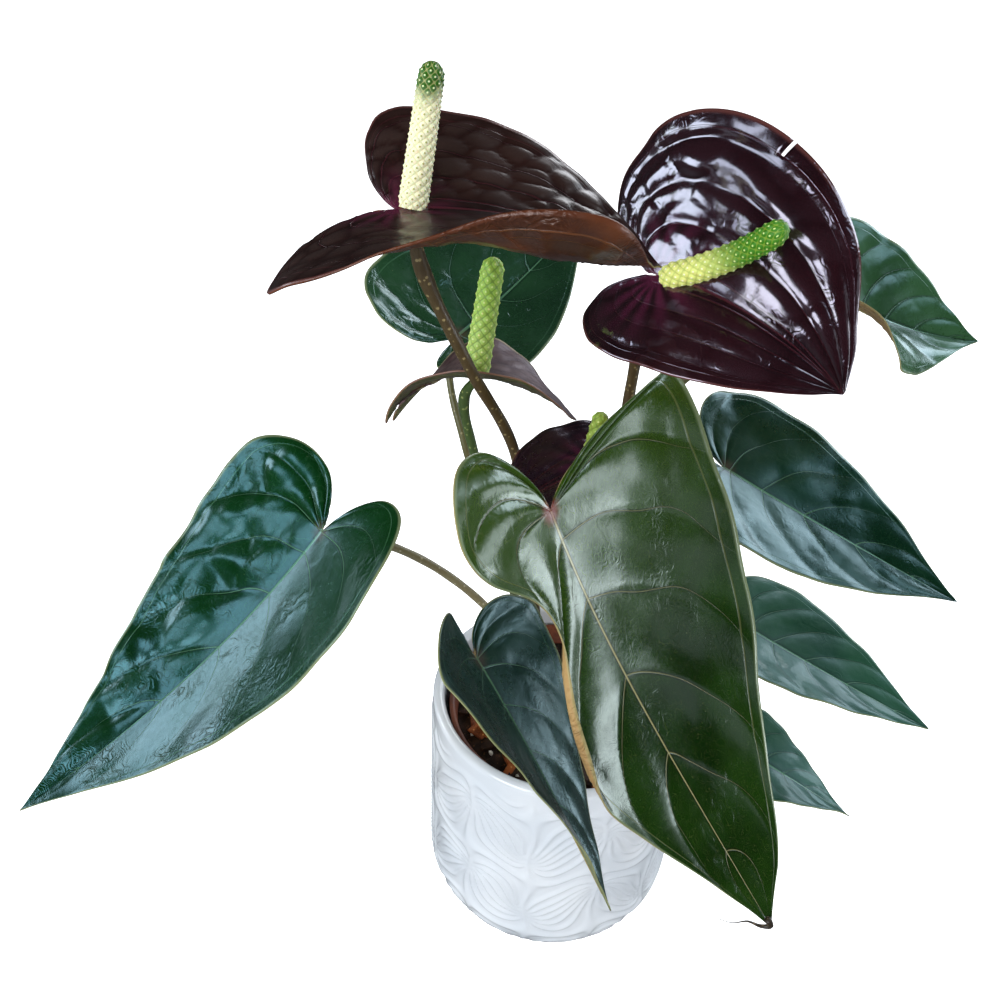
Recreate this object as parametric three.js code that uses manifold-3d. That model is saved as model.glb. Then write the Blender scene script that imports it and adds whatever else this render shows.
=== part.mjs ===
// Potted black love anthurium: eight heart-shaped leaves and four dark flowers on thin stalks,
// standing in bark mix in a brown nursery pot inside a white glazed pot.
// Millimetres, +Z up, origin at the centre of the pot's flat base, front towards -Y.

import * as THREE from 'three';
import { mergeVertices } from 'three/addons/utils/BufferGeometryUtils.js';
import Module from 'manifold-3d';

const wasm = await Module();
wasm.setup();

const DEG = Math.PI / 180;
const GOLDEN_ANGLE = Math.PI * (3 - Math.sqrt(5));
const GAP = 0.3; // clearance between pieces that touch

// White pot
const POT_RADIUS = 62;
const POT_HEIGHT = 138;
const POT_WALL = 5.5;
const POT_FLOOR = 6;
const POT_BASE_ROUND = 32; // radius of the broad rounding at the foot
const POT_INNER_ROUND = 20;
const POT_SEGMENTS = 40;

// Brown nursery pot standing on the white pot's floor
const NURSERY_TOP_RADIUS = 53;
const NURSERY_BASE_RADIUS = 34;
const NURSERY_WALL = 1.2;
const NURSERY_TOP = 129;
const NURSERY_LIP = 2.4; // width of the rolled rim
const NURSERY_SEGMENTS = 36;

// Bark mix
const MIX_TOP = 119;
const MIX_RELIEF = 1.6; // unevenness of the surface
const MIX_SEGMENTS = 30;
const CHIP_COUNT = 26;
const CHIP_SIZE = [9, 5, 4];
const CHIP_RISE = 0.5; // height of a chip's centre above the surface

// Short stem that every stalk comes from
const CROWN_RADIUS = 6.5;
const CROWN_TOP = 132;
const CROWN_SEGMENTS = 14;
const ROOT_DEPTH = 12; // how far stalks and stem reach below the surface of the mix

// Blades
const LEAF_THICKNESS = 0.8;
const SPATHE_THICKNESS = 1.0;
const RIM_START = 0.45; // usual share of the way to the edge from which the rim curls
const SECTION_STEPS = 10;

// Half outline of a blade from the notch round the lobe to the tip. Along the midrib a value is a
// share of the lobe's reach behind the notch, or of the blade's length ahead of it. Across, it is
// a share of the half width.
const LEAF_FORM = [
  [0, 0], [-0.55, 0.10], [-0.95, 0.30], [-0.98, 0.58], [-0.55, 0.88], [0, 1],
  [0.20, 0.97], [0.45, 0.76], [0.68, 0.46], [0.86, 0.18], [0.95, 0.055], [1, 0],
];
const SPATHE_FORM = [
  [0, 0], [-0.50, 0.10], [-0.92, 0.30], [-1, 0.56], [-0.66, 0.86], [0, 1.02],
  [0.25, 1], [0.50, 0.84], [0.72, 0.56], [0.88, 0.26], [0.965, 0.07], [1, 0],
];

// Each blade is set by its notch, the heading of its midrib in plan, the droop of the midrib and
// the roll about it. Pairs are the half to the left of the midrib, then the half to the right.
// fold, cup and rim turn the cross-section upwards at the midrib, evenly and at the edge; bend is
// the midrib's downward turn over its length, lobeBend that of the lobes. A waist narrows the
// right half around one place (a negative one widens it).
const LEAVES = [
  {
    name: 'leaf_left', notch: [-106, -20, 240], heading: -148, droop: 48, roll: -7,
    length: 166, halfWidth: [61, 58], lobe: [30, 19], fold: [11, 9], cup: [16, 5], rim: [0, 0],
    bend: -27, lobeBend: 16, twist: -7, stations: 18, across: 4, color: 0x1c3f2c,
    stalk: { radius: 1.8, via: [[-11, -1, 120], [-30, -5, 180], [-62, -8, 216], [-92, -13, 233]] },
  },
  {
    name: 'leaf_front', notch: [-17, -83, 306], heading: -10, droop: 68, roll: 23,
    length: 180, halfWidth: [88, 55], lobe: [6, 34], fold: [-7, 4], cup: [9, 12], rim: [0, 150],
    rimStart: 0.72, rimAt: 0.4, rimSpread: 0.16, waist: 0.67, waistAt: 0.17, waistSpread: 0.2,
    bend: -31, lobeBend: 24, twist: 26, stations: 18, across: 5, color: 0x2f4d17,
    stalk: { radius: 2.0, via: [[4, -13, 120], [12, -24, 175], [9, -44, 240], [-8, -71, 291]] },
  },
  {
    name: 'leaf_small_front', notch: [-39, -64, 219], heading: -38, droop: 44, roll: -19,
    length: 112, halfWidth: [40, 42], lobe: [18, 27], fold: [13, 24], cup: [3, -6], rim: [0, 0],
    bend: 7, lobeBend: -29, twist: -23, stations: 14, across: 4, color: 0x1b3a33,
    stalk: { radius: 1.5, via: [[-7, -12, 120], [-16, -24, 150], [-31, -43, 190], [-41, -60, 211]] },
  },
  {
    name: 'leaf_right_upper', notch: [59, 24, 255], heading: -15, droop: 23, roll: 13,
    length: 114, halfWidth: [43, 40], lobe: [25, 28], fold: [11, 9], cup: [-4, 7], rim: [0, 0],
    bend: -4, lobeBend: -36, twist: 19, stations: 15, across: 4, color: 0x1f4034,
    stalk: { radius: 1.6, via: [[12, 5, 120], [22, 8, 165], [37, 15, 212], [53, 22, 244]] },
  },
  {
    name: 'leaf_right_middle', notch: [78, 1, 186], heading: -31, droop: 9, roll: -3,
    length: 85, halfWidth: [33, 31], lobe: [20, 22], fold: [9, 10], cup: [2, 4], rim: [0, 0],
    bend: -4, lobeBend: 9, twist: 10, stations: 12, across: 4, color: 0x21453a,
    stalk: { radius: 1.4, via: [[14, -2, 120], [26, -2, 143], [48, -1, 166], [70, 0, 180]] },
  },
  {
    name: 'leaf_right_low', notch: [78, -44, 155], heading: -21, droop: 18, roll: 8,
    length: 50, halfWidth: [21, 20], lobe: [12, 12], fold: [7, 5], cup: [7, 0], rim: [0, 0],
    bend: 2, lobeBend: 5, twist: -30, stations: 12, across: 3, color: 0x21453a,
    stalk: { radius: 1.3, via: [[13, -10, 120], [24, -15, 138], [45, -27, 152], [70, -41, 155]] },
  },
  {
    name: 'leaf_back_right', notch: [94, 36, 331], heading: 26, droop: 34, roll: 32,
    length: 74, halfWidth: [36, 37], lobe: [17, 17], fold: [13, 31], cup: [7, -6], rim: [0, -50],
    rimAt: 0.35, rimSpread: 0.4,
    bend: -33, lobeBend: 0, twist: 30, stations: 14, across: 4, color: 0x2a5133,
    stalk: { radius: 1.5, via: [[8, 11, 120], [14, 20, 200], [28, 30, 280], [80, 36, 325]] },
  },
  {
    name: 'leaf_back_left', notch: [-59, 62, 290], heading: 57, droop: -10, roll: 15,
    length: 98, halfWidth: [51, 37], lobe: [28, 33], fold: [10, 10], cup: [2, 7], rim: [0, 0],
    bend: -19, lobeBend: -28, twist: 1, stations: 14, across: 4, color: 0x1f4433,
    stalk: { radius: 1.6, via: [[-6, 12, 120], [-28, 22, 180], [-53, 35, 250], [-62, 52, 280]] },
  },
];

// Each flower is a dark spathe with a spadix on its top and a stalk under it.
const FLOWERS = [
  {
    name: 'left', notch: [-68, -53, 388], heading: 8, droop: -4, roll: 5,
    length: 84, halfWidth: [42, 46], lobe: [5, 37], fold: [14, 6], cup: [9, 4], rim: [0, 79],
    rimStart: 0.3, rimAt: 0.45, rimSpread: 0.42, waist: -0.84, waistAt: 0.61, waistSpread: 0.3,
    bend: 33, lobeBend: 37, twist: -4, stations: 18, across: 4, color: 0x2a0f12,
    spadix: { tip: [-59, -40, 426], radius: 4.2, around: 14, along: 24, bow: 0, color: 0xe6e6b4 },
    stalk: {
      radius: 2.1,
      via: [[-9, -8, 120], [-19, -10, 210], [-30, -15, 281], [-47, -35, 328], [-62, -49, 371]],
    },
  },
  {
    name: 'right', notch: [14, -18, 358], heading: -55, droop: -16, roll: 36,
    length: 77, halfWidth: [52, 31], lobe: [31, 27], fold: [30, -8], cup: [12, 2], rim: [0, 0],
    bend: 78, lobeBend: 5, twist: 1, stations: 18, across: 4, color: 0x35101a,
    spadix: { tip: [43, -55, 391], radius: 4.4, around: 14, along: 24, bow: 2.5, color: 0xc9d67a },
    stalk: { radius: 2.2, via: [[7, -5, 120], [11, 2, 220], [12, 1, 305], [13, -12, 345]] },
  },
  {
    name: 'young', notch: [-51, -8, 310], heading: 1, droop: -5, roll: -1,
    length: 48, halfWidth: [46, 20], lobe: [40, 38], fold: [-27, 15], cup: [33, 33], rim: [0, 9],
    rimAt: 0.3, rimSpread: 0.8,
    bend: 52, lobeBend: 66, twist: 7, stations: 12, across: 4, color: 0x4a2a26,
    spadix: { tip: [-45, 3, 352], radius: 4.3, around: 12, along: 20, bow: 0, color: 0x9dbb4e },
    stalk: { radius: 1.9, via: [[-12, 5, 120], [-27, 8, 190], [-46, 6, 262], [-51, -3, 297]] },
  },
  {
    name: 'hidden', notch: [1, -23, 284], heading: -146, droop: 5, roll: 3,
    length: 43, halfWidth: [24, 25], lobe: [19, 19], fold: [8, 9], cup: [5, 3], rim: [0, 0],
    bend: 14, lobeBend: 2, twist: -3, stations: 12, across: 3, color: 0x1d1017,
    spadix: { tip: [5, -27, 307], radius: 3.5, around: 10, along: 12, bow: 0, color: 0xa8bd58 },
    stalk: { radius: 1.8, via: [[0, -12, 120], [-2, -10, 180], [1, -14, 240], [2, -20, 272]] },
  },
];
const LEAF_SEAT = 3; // where a leaf stalk meets the midrib, ahead of the notch
const FLOWER_SEAT = 4.5;
const SEAT_LIFT = 0.6; // from the blade's middle surface
const STALK_SIDES = 7;
const STALK_STEPS = 18;
const FLORET_RELIEF = 0.55;
const SPADIX_TAPER = 0.16; // share of the girth lost towards the tip
const SPADIX_TIP_START = 0.86; // share of the length where the tip begins to round

const LOOKS = {
  pot: { color: 0xe9edf0, roughness: 0.15 },
  nursery: { color: 0x6b3a24, roughness: 0.6 },
  mix: { color: 0x33231a, roughness: 0.95 },
  crown: { color: 0x5b4a2c, roughness: 0.8 },
  leafStalk: { color: 0x6d6a3a, roughness: 0.5 },
  flowerStalk: { color: 0x55401f, roughness: 0.5 },
};
const LEAF_ROUGHNESS = 0.3;
const SPATHE_ROUGHNESS = 0.15;
const SPADIX_ROUGHNESS = 0.6;

function closedGeometry(points, triangles) {
  const geometry = new THREE.BufferGeometry();
  geometry.setAttribute('position', new THREE.Float32BufferAttribute(points.flat(), 3));
  geometry.setIndex(triangles.flat());
  return geometry;
}

function solidFrom(geometry) {
  const plain = geometry.clone();
  plain.deleteAttribute('normal');
  plain.deleteAttribute('uv');
  const welded = mergeVertices(plain, 1e-4);
  const mesh = new wasm.Mesh({
    numProp: 3,
    vertProperties: new Float32Array(welded.attributes.position.array),
    triVerts: new Uint32Array(welded.index.array),
  });
  mesh.merge();
  return new wasm.Manifold(mesh);
}

function largestBody(solid) {
  const bodies = solid.decompose();
  bodies.sort((a, b) => b.volume() - a.volume());
  return bodies[0];
}

function geometryFrom(solid) {
  const mesh = solid.getMesh();
  const geometry = new THREE.BufferGeometry();
  geometry.setAttribute('position', new THREE.Float32BufferAttribute(mesh.vertProperties, 3));
  geometry.setIndex(Array.from(mesh.triVerts));
  return geometry;
}

function namedMesh(name, geometry, { color, roughness }) {
  const look = new THREE.MeshStandardMaterial({ color, roughness, metalness: 0 });
  const mesh = new THREE.Mesh(geometry, look);
  mesh.name = name;
  return mesh;
}

// Points of an arc, ends included, turning from one angle to the other.
function arc(centreX, centreY, radius, from, to, steps) {
  const points = [];
  for (let i = 0; i <= steps; i += 1) {
    const angle = (from + (to - from) * i / steps) * DEG;
    const across = radius * Math.cos(angle);
    const up = radius * Math.sin(angle);
    points.push(new THREE.Vector2(centreX + across, centreY + up));
  }
  return points;
}

function lathe(profile, segments) {
  const geometry = new THREE.LatheGeometry(profile, segments);
  return geometry.rotateX(Math.PI / 2);
}

function potGeometry() {
  const innerRadius = POT_RADIUS - POT_WALL;
  const lip = POT_WALL / 2;
  const profile = [
    new THREE.Vector2(0, 0),
    ...arc(POT_RADIUS - POT_BASE_ROUND, POT_BASE_ROUND, POT_BASE_ROUND, -90, 0, 7),
    ...arc(POT_RADIUS - lip, POT_HEIGHT - lip, lip, 0, 180, 4),
    ...arc(innerRadius - POT_INNER_ROUND, POT_FLOOR + POT_INNER_ROUND, POT_INNER_ROUND, 0, -90, 4),
    new THREE.Vector2(0, POT_FLOOR),
  ];
  return lathe(profile, POT_SEGMENTS);
}

function nurseryGeometry() {
  const base = POT_FLOOR + GAP;
  const profile = [
    new THREE.Vector2(0, base),
    new THREE.Vector2(NURSERY_BASE_RADIUS, base),
    new THREE.Vector2(NURSERY_TOP_RADIUS, NURSERY_TOP - NURSERY_LIP),
    new THREE.Vector2(NURSERY_TOP_RADIUS + NURSERY_LIP / 2, NURSERY_TOP - NURSERY_LIP),
    new THREE.Vector2(NURSERY_TOP_RADIUS + NURSERY_LIP / 2, NURSERY_TOP),
    new THREE.Vector2(NURSERY_TOP_RADIUS - NURSERY_WALL, NURSERY_TOP),
    new THREE.Vector2(NURSERY_BASE_RADIUS - NURSERY_WALL, base + NURSERY_WALL),
    new THREE.Vector2(0, base + NURSERY_WALL),
  ];
  return lathe(profile, NURSERY_SEGMENTS);
}

// Inner radius of the nursery pot at a height.
function nurseryInside(height) {
  const base = POT_FLOOR + GAP + NURSERY_WALL;
  const share = (height - base) / (NURSERY_TOP - base);
  return NURSERY_BASE_RADIUS + (NURSERY_TOP_RADIUS - NURSERY_BASE_RADIUS) * share - NURSERY_WALL;
}

// Height of the mix: broad mounds with a finer ripple across them.
function unevenTop(x, y) {
  const mounds = Math.sin(x * 0.23 + 1) * Math.cos(y * 0.19);
  const ripple = Math.sin(x * 0.5 - y * 0.41);
  return MIX_TOP + MIX_RELIEF * (mounds + 0.4 * ripple);
}

// The mix fills the nursery pot to an uneven surface, and bark chips lie half sunk in it.
function mixSolid(holes) {
  const base = POT_FLOOR + 2 * GAP + NURSERY_WALL;
  const rings = [0.3, 0.55, 0.8, 1];
  const topRadius = nurseryInside(MIX_TOP) - GAP;
  const profile = [
    new THREE.Vector2(0, base),
    new THREE.Vector2(nurseryInside(base) - GAP, base),
    ...rings.slice().reverse().map((share) => new THREE.Vector2(topRadius * share, MIX_TOP)),
    new THREE.Vector2(0, MIX_TOP),
  ];
  const body = lathe(profile, MIX_SEGMENTS);
  const position = body.attributes.position;
  for (let i = 0; i < position.count; i += 1) {
    if (position.getZ(i) > MIX_TOP - 1) {
      const radius = Math.hypot(position.getX(i), position.getY(i));
      const fade = radius > topRadius - 1 ? 0 : 1;
      const height = unevenTop(position.getX(i), position.getY(i));
      position.setZ(i, MIX_TOP + (height - MIX_TOP) * fade);
    }
  }
  let mix = solidFrom(body);
  for (let i = 0; i < CHIP_COUNT; i += 1) {
    const share = Math.sqrt((i + 4) / (CHIP_COUNT + 4));
    const radius = (topRadius - CHIP_SIZE[0] * 0.7) * share;
    const angle = i * GOLDEN_ANGLE;
    const chip = new THREE.BoxGeometry(...CHIP_SIZE);
    chip.rotateX(Math.sin(i * 2.1) * 0.5);
    chip.rotateY(Math.cos(i * 1.7) * 0.35);
    chip.rotateZ(i * 2.4);
    const x = radius * Math.cos(angle);
    const y = radius * Math.sin(angle);
    chip.translate(x, y, unevenTop(x, y) + CHIP_RISE);
    mix = mix.add(solidFrom(chip));
  }
  for (const hole of holes) {
    mix = mix.subtract(hole);
  }
  return largestBody(mix);
}

// Short stem with a rounded top and a slight waist where old leaves came off.
function crownGeometry(extra) {
  const bottom = MIX_TOP - ROOT_DEPTH - extra;
  const radius = CROWN_RADIUS + extra;
  const profile = [
    new THREE.Vector2(0, bottom),
    new THREE.Vector2(radius * 0.9, bottom),
    new THREE.Vector2(radius, MIX_TOP - 2),
    new THREE.Vector2(radius * 0.86, MIX_TOP + 3),
    new THREE.Vector2(radius * 0.95, MIX_TOP + 6),
    new THREE.Vector2(radius * 0.7, CROWN_TOP - 2.5),
    new THREE.Vector2(0, CROWN_TOP + extra),
  ];
  return lathe(profile, CROWN_SEGMENTS);
}

// Smooth swelling of height one around a place, fading over the spread.
function swell(value, place, spread) {
  return Math.exp(-(((value - place) / spread) ** 2));
}

// Evenly spaced points of a blade's half outline, scaled to its size.
function halfOutline(form, blade, half) {
  const reach = (along) => along * (along < 0 ? blade.lobe[half] : blade.length);
  const points = form.map(([along, side]) => (
    new THREE.Vector3(reach(along), side * blade.halfWidth[half], 0)
  ));
  const curve = new THREE.CatmullRomCurve3(points, false, 'centripetal');
  const outline = curve.getSpacedPoints(blade.stations);
  if (half === 1 && blade.waist) {
    for (const point of outline) {
      point.y *= 1 - blade.waist * swell(point.x / blade.length, blade.waistAt, blade.waistSpread);
    }
  }
  return outline;
}

// Walks from the midrib outwards, turning as the cross-section folds, cups and curls.
function crossSection(blade, half, distance, edgeShare, rim) {
  const halfWidth = blade.halfWidth[half];
  const start = blade.rimStart ?? RIM_START;
  let y = 0;
  let z = 0;
  for (let i = 0; i < SECTION_STEPS; i += 1) {
    const walked = (i + 0.5) / SECTION_STEPS;
    const curl = Math.max(0, (walked * edgeShare - start) / (1 - start)) ** 2;
    const cup = blade.cup[half] * walked * distance / halfWidth;
    const angle = (blade.fold[half] + cup + rim * curl) * DEG;
    y += Math.cos(angle) * distance / SECTION_STEPS;
    z += Math.sin(angle) * distance / SECTION_STEPS;
  }
  return [y, z];
}

// Takes a point of the flat blade to its place on the bent one. edgeShare runs from 0 on the
// midrib to 1 at the edge.
function bentPoint(blade, half, along, distance, edgeShare) {
  const rim = blade.rim[half] * swell(along / blade.length, blade.rimAt ?? 0, blade.rimSpread ?? 1);
  const [side, rise] = crossSection(blade, half, distance, edgeShare, rim);
  const ahead = along >= 0;
  const turn = ahead ? blade.bend * DEG / blade.length : blade.lobeBend * DEG / blade.lobe[half];
  const curve = Math.abs(turn) < 1e-6 ? 1e-6 : turn;
  const angle = curve * Math.abs(along);
  const direction = ahead ? 1 : -1;
  const x = direction * (Math.sin(angle) / curve + rise * Math.sin(angle));
  const drop = -(1 - Math.cos(angle)) / curve;
  const lift = rise * Math.cos(angle);
  const twist = blade.twist * DEG * along / blade.length;
  const y = half === 0 ? side : -side;
  return [
    x,
    y * Math.cos(twist) - lift * Math.sin(twist),
    drop + y * Math.sin(twist) + lift * Math.cos(twist),
  ];
}

// Middle surface of a blade: rows run from the midrib to the edge as the side veins do, and in the
// lobes they fan out from the notch. Every quad is cut into two triangles.
function bladeSurface(blade, form) {
  const points = [];
  const quads = [];
  const { length, stations, across } = blade;
  const edges = [0, 1].map((half) => halfOutline(form, blade, half));
  for (const half of [0, 1]) {
    const first = points.length;
    edges[half].forEach((corner, station) => {
      const ahead = Math.max(0, (edges[0][station].x + edges[1][station].x) / 2);
      const root = length * (ahead / length) ** 1.5;
      for (let step = 0; step <= across; step += 1) {
        const share = step / across;
        const along = root + (corner.x - root) * share;
        points.push(bentPoint(blade, half, along, Math.abs(corner.y) * share, share));
      }
    });
    for (let station = 0; station < stations; station += 1) {
      for (let step = 0; step < across; step += 1) {
        const a = first + station * (across + 1) + step;
        const b = a + across + 1;
        const quad = [[a, a + 1, b + 1], [a, b + 1, b]];
        quads.push(...(half === 0 ? quad.map(([p, q, r]) => [p, r, q]) : quad));
      }
    }
  }
  return closedGeometry(points, quads);
}

// Gives an open surface a thickness: both faces carry the same triangles, and a wall closes the
// edge.
function thicken(surface, thickness) {
  const welded = mergeVertices(surface, 1e-3);
  const index = Array.from(welded.index.array);
  const triangles = [];
  for (let i = 0; i < index.length; i += 3) {
    const [a, b, c] = [index[i], index[i + 1], index[i + 2]];
    if (a !== b && b !== c && c !== a) {
      triangles.push([a, b, c]);
    }
  }
  welded.setIndex(triangles.flat());
  welded.computeVertexNormals();
  const { position, normal } = welded.attributes;
  const count = position.count;
  const points = [];
  for (const side of [0.5, -0.5]) {
    for (let i = 0; i < count; i += 1) {
      const place = new THREE.Vector3().fromBufferAttribute(position, i);
      const outward = new THREE.Vector3().fromBufferAttribute(normal, i);
      points.push(place.addScaledVector(outward, side * thickness).toArray());
    }
  }
  const faces = [];
  const open = new Map();
  for (const [a, b, c] of triangles) {
    faces.push([a, b, c], [a + count, c + count, b + count]);
    for (const [from, to] of [[a, b], [b, c], [c, a]]) {
      if (!open.delete(`${to}_${from}`)) {
        open.set(`${from}_${to}`, [from, to]);
      }
    }
  }
  for (const [from, to] of open.values()) {
    faces.push([from, from + count, to], [to, from + count, to + count]);
  }
  return closedGeometry(points, faces);
}

// Axes of a blade: x along its midrib, z out of its upper face.
function bladePlacement(blade) {
  const heading = blade.heading * DEG;
  const droop = blade.droop * DEG;
  const roll = blade.roll * DEG;
  const x = new THREE.Vector3(
    Math.cos(heading) * Math.cos(droop),
    Math.sin(heading) * Math.cos(droop),
    -Math.sin(droop),
  );
  const level = new THREE.Vector3(-Math.sin(heading), Math.cos(heading), 0);
  const upright = new THREE.Vector3().crossVectors(x, level);
  const y = level.clone().multiplyScalar(Math.cos(roll)).addScaledVector(upright, Math.sin(roll));
  const z = new THREE.Vector3().crossVectors(x, y);
  const matrix = new THREE.Matrix4().makeBasis(x, y, z);
  return matrix.setPosition(...blade.notch);
}

// Solid that a stalk or spadix is cut by, so that it ends just clear of the blade.
function bladeCutter(blade, form, thickness) {
  const grown = thicken(bladeSurface(blade, form), thickness + 2 * GAP);
  return solidFrom(grown.applyMatrix4(bladePlacement(blade)));
}

function circleShape(radius, sides) {
  const points = [];
  for (let i = 0; i < sides; i += 1) {
    const angle = i / sides * 2 * Math.PI;
    points.push(new THREE.Vector2(radius * Math.cos(angle), radius * Math.sin(angle)));
  }
  return new THREE.Shape(points);
}

// Point on the midrib ahead of the notch, lifted out of the upper face or sunk below the lower one.
function seatPoint(blade, seat, lift) {
  const [x, y, z] = bentPoint(blade, 0, seat, 0, 0);
  return new THREE.Vector3(x, y, z + lift).applyMatrix4(bladePlacement(blade));
}

// Tube along a stalk, from below the surface of the mix to the seat under its blade.
function stalkGeometry(stalk, end, extra) {
  const [x, y] = stalk.via[0];
  const root = new THREE.Vector3(x, y, MIX_TOP - ROOT_DEPTH - extra);
  const route = [root, ...stalk.via.map((point) => new THREE.Vector3(...point)), end];
  const path = new THREE.CatmullRomCurve3(route, false, 'centripetal');
  return new THREE.ExtrudeGeometry(circleShape(stalk.radius + extra, STALK_SIDES), {
    steps: STALK_STEPS,
    extrudePath: path,
    bevelEnabled: false,
    curveSegments: 1,
  });
}

// Spadix: a tapered spike whose florets stand out in staggered rows.
function spadixGeometry(spadix, base) {
  const axis = new THREE.Vector3(...spadix.tip).sub(base);
  const length = axis.length();
  const { around, along, radius, bow } = spadix;
  const points = [[0, 0, 0]];
  for (let row = 0; row <= along; row += 1) {
    const share = row / along;
    const tip = Math.max(0, (share - SPADIX_TIP_START) / (1 - SPADIX_TIP_START));
    const girth = radius * (1 - SPADIX_TAPER * share) * Math.sqrt(1 - (tip * 0.93) ** 2);
    for (let column = 0; column < around; column += 1) {
      const raised = (row + column) % 2 === 0 && row > 0;
      const reach = girth - (raised ? 0 : FLORET_RELIEF);
      const angle = column / around * 2 * Math.PI;
      const lean = bow * Math.sin(Math.PI * share);
      points.push([reach * Math.cos(angle) + lean, reach * Math.sin(angle), length * share * 0.995]);
    }
  }
  points.push([0, 0, length]);
  const last = points.length - 1;
  const faces = [];
  for (let column = 0; column < around; column += 1) {
    const next = (column + 1) % around;
    faces.push([0, 1 + next, 1 + column]);
    for (let row = 0; row < along; row += 1) {
      const a = 1 + row * around + column;
      const b = 1 + row * around + next;
      const raised = (row + column) % 2 === 0;
      faces.push(...(raised
        ? [[a, b, a + around], [b, b + around, a + around]]
        : [[a, b, b + around], [a, b + around, a + around]]));
    }
    faces.push([1 + along * around + column, 1 + along * around + next, last]);
  }
  const geometry = closedGeometry(points, faces);
  const up = new THREE.Vector3(0, 0, 1);
  const turn = new THREE.Quaternion().setFromUnitVectors(up, axis.normalize());
  return geometry.applyQuaternion(turn).translate(...base.toArray());
}

function bladeMesh(name, blade, form, thickness, roughness) {
  const geometry = thicken(bladeSurface(blade, form), thickness);
  const mesh = namedMesh(name, geometry, { color: blade.color, roughness });
  const turned = new THREE.Quaternion().setFromRotationMatrix(bladePlacement(blade));
  mesh.quaternion.copy(turned);
  mesh.position.set(...blade.notch);
  return mesh;
}

// A stalk ends just under its blade, and the mix gets a plain hole around its foot.
function stalkParts(blade, form, thickness, seat) {
  const end = seatPoint(blade, seat, -SEAT_LIFT);
  const cutter = bladeCutter(blade, form, thickness);
  const body = largestBody(solidFrom(stalkGeometry(blade.stalk, end, 0)).subtract(cutter));
  const hole = solidFrom(stalkGeometry(blade.stalk, end, GAP));
  return { cutter, body, hole };
}

function buildPlant() {
  const plant = new THREE.Group();
  const holes = [solidFrom(crownGeometry(GAP))];
  plant.add(namedMesh('crown', crownGeometry(0), LOOKS.crown));
  for (const leaf of LEAVES) {
    const { body, hole } = stalkParts(leaf, LEAF_FORM, LEAF_THICKNESS, LEAF_SEAT);
    holes.push(hole);
    plant.add(bladeMesh(leaf.name, leaf, LEAF_FORM, LEAF_THICKNESS, LEAF_ROUGHNESS));
    plant.add(namedMesh(`${leaf.name}_stalk`, geometryFrom(body), LOOKS.leafStalk));
  }
  for (const flower of FLOWERS) {
    const parts = stalkParts(flower, SPATHE_FORM, SPATHE_THICKNESS, FLOWER_SEAT);
    holes.push(parts.hole);
    const name = `flower_${flower.name}`;
    const base = seatPoint(flower, FLOWER_SEAT, SEAT_LIFT);
    const spike = largestBody(solidFrom(spadixGeometry(flower.spadix, base)).subtract(parts.cutter));
    const spikeLook = { color: flower.spadix.color, roughness: SPADIX_ROUGHNESS };
    plant.add(bladeMesh(`${name}_spathe`, flower, SPATHE_FORM, SPATHE_THICKNESS, SPATHE_ROUGHNESS));
    plant.add(namedMesh(`${name}_spadix`, geometryFrom(spike), spikeLook));
    plant.add(namedMesh(`${name}_stalk`, geometryFrom(parts.body), LOOKS.flowerStalk));
  }
  plant.add(namedMesh('potting_mix', geometryFrom(mixSolid(holes)), LOOKS.mix));
  return plant;
}

const object = new THREE.Group();
object.add(namedMesh('pot', potGeometry(), LOOKS.pot));
object.add(namedMesh('nursery_pot', nurseryGeometry(), LOOKS.nursery));
object.add(buildPlant());

export default object;
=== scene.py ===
import math
import random
import bmesh
import bpy
import numpy as np
from mathutils import Matrix, Vector


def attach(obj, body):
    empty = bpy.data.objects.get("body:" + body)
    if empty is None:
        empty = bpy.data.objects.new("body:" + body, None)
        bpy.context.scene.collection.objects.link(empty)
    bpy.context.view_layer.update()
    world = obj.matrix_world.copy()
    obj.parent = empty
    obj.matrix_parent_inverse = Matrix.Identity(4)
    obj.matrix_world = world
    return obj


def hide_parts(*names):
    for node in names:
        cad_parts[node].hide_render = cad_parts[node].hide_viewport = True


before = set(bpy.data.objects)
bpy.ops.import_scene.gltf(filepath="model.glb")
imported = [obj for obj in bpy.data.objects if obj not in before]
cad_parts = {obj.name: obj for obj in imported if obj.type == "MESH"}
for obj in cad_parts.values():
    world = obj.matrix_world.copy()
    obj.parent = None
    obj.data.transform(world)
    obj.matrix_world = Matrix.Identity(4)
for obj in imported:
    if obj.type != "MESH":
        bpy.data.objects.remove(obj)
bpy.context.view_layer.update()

MM = 0.001

# Camera, in millimetres and degrees, worked out from the rim, sides and base of the pot
CAMERA_PLACE = (-25.6, -332.7, 493.4)
CAMERA_PITCH, CAMERA_YAW, CAMERA_ROLL = 36.45, -1.67, 3.08
LENS = 36


def make_camera():
    pitch, yaw, roll = (math.radians(a) for a in (CAMERA_PITCH, CAMERA_YAW, CAMERA_ROLL))
    forward = Vector((
        math.sin(yaw) * math.cos(pitch), math.cos(yaw) * math.cos(pitch), -math.sin(pitch)))
    level = Vector((math.cos(yaw), -math.sin(yaw), 0))
    raised = level.cross(forward)
    across = level * math.cos(roll) + raised * math.sin(roll)
    up = raised * math.cos(roll) - level * math.sin(roll)
    turn = Matrix((across, up, -forward)).transposed().to_4x4()
    data = bpy.data.cameras.new("camera")
    data.lens = LENS
    data.sensor_width = 36
    data.clip_start = 0.02
    camera = bpy.data.objects.new("camera", data)
    camera.matrix_world = Matrix.Translation(Vector(CAMERA_PLACE) * MM) @ turn
    bpy.context.scene.collection.objects.link(camera)
    bpy.context.scene.camera = camera


make_camera()

# Node helpers


def put(tree, value, socket):
    if isinstance(value, bpy.types.NodeSocket):
        tree.links.new(value, socket)
    else:
        socket.default_value = value


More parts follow.
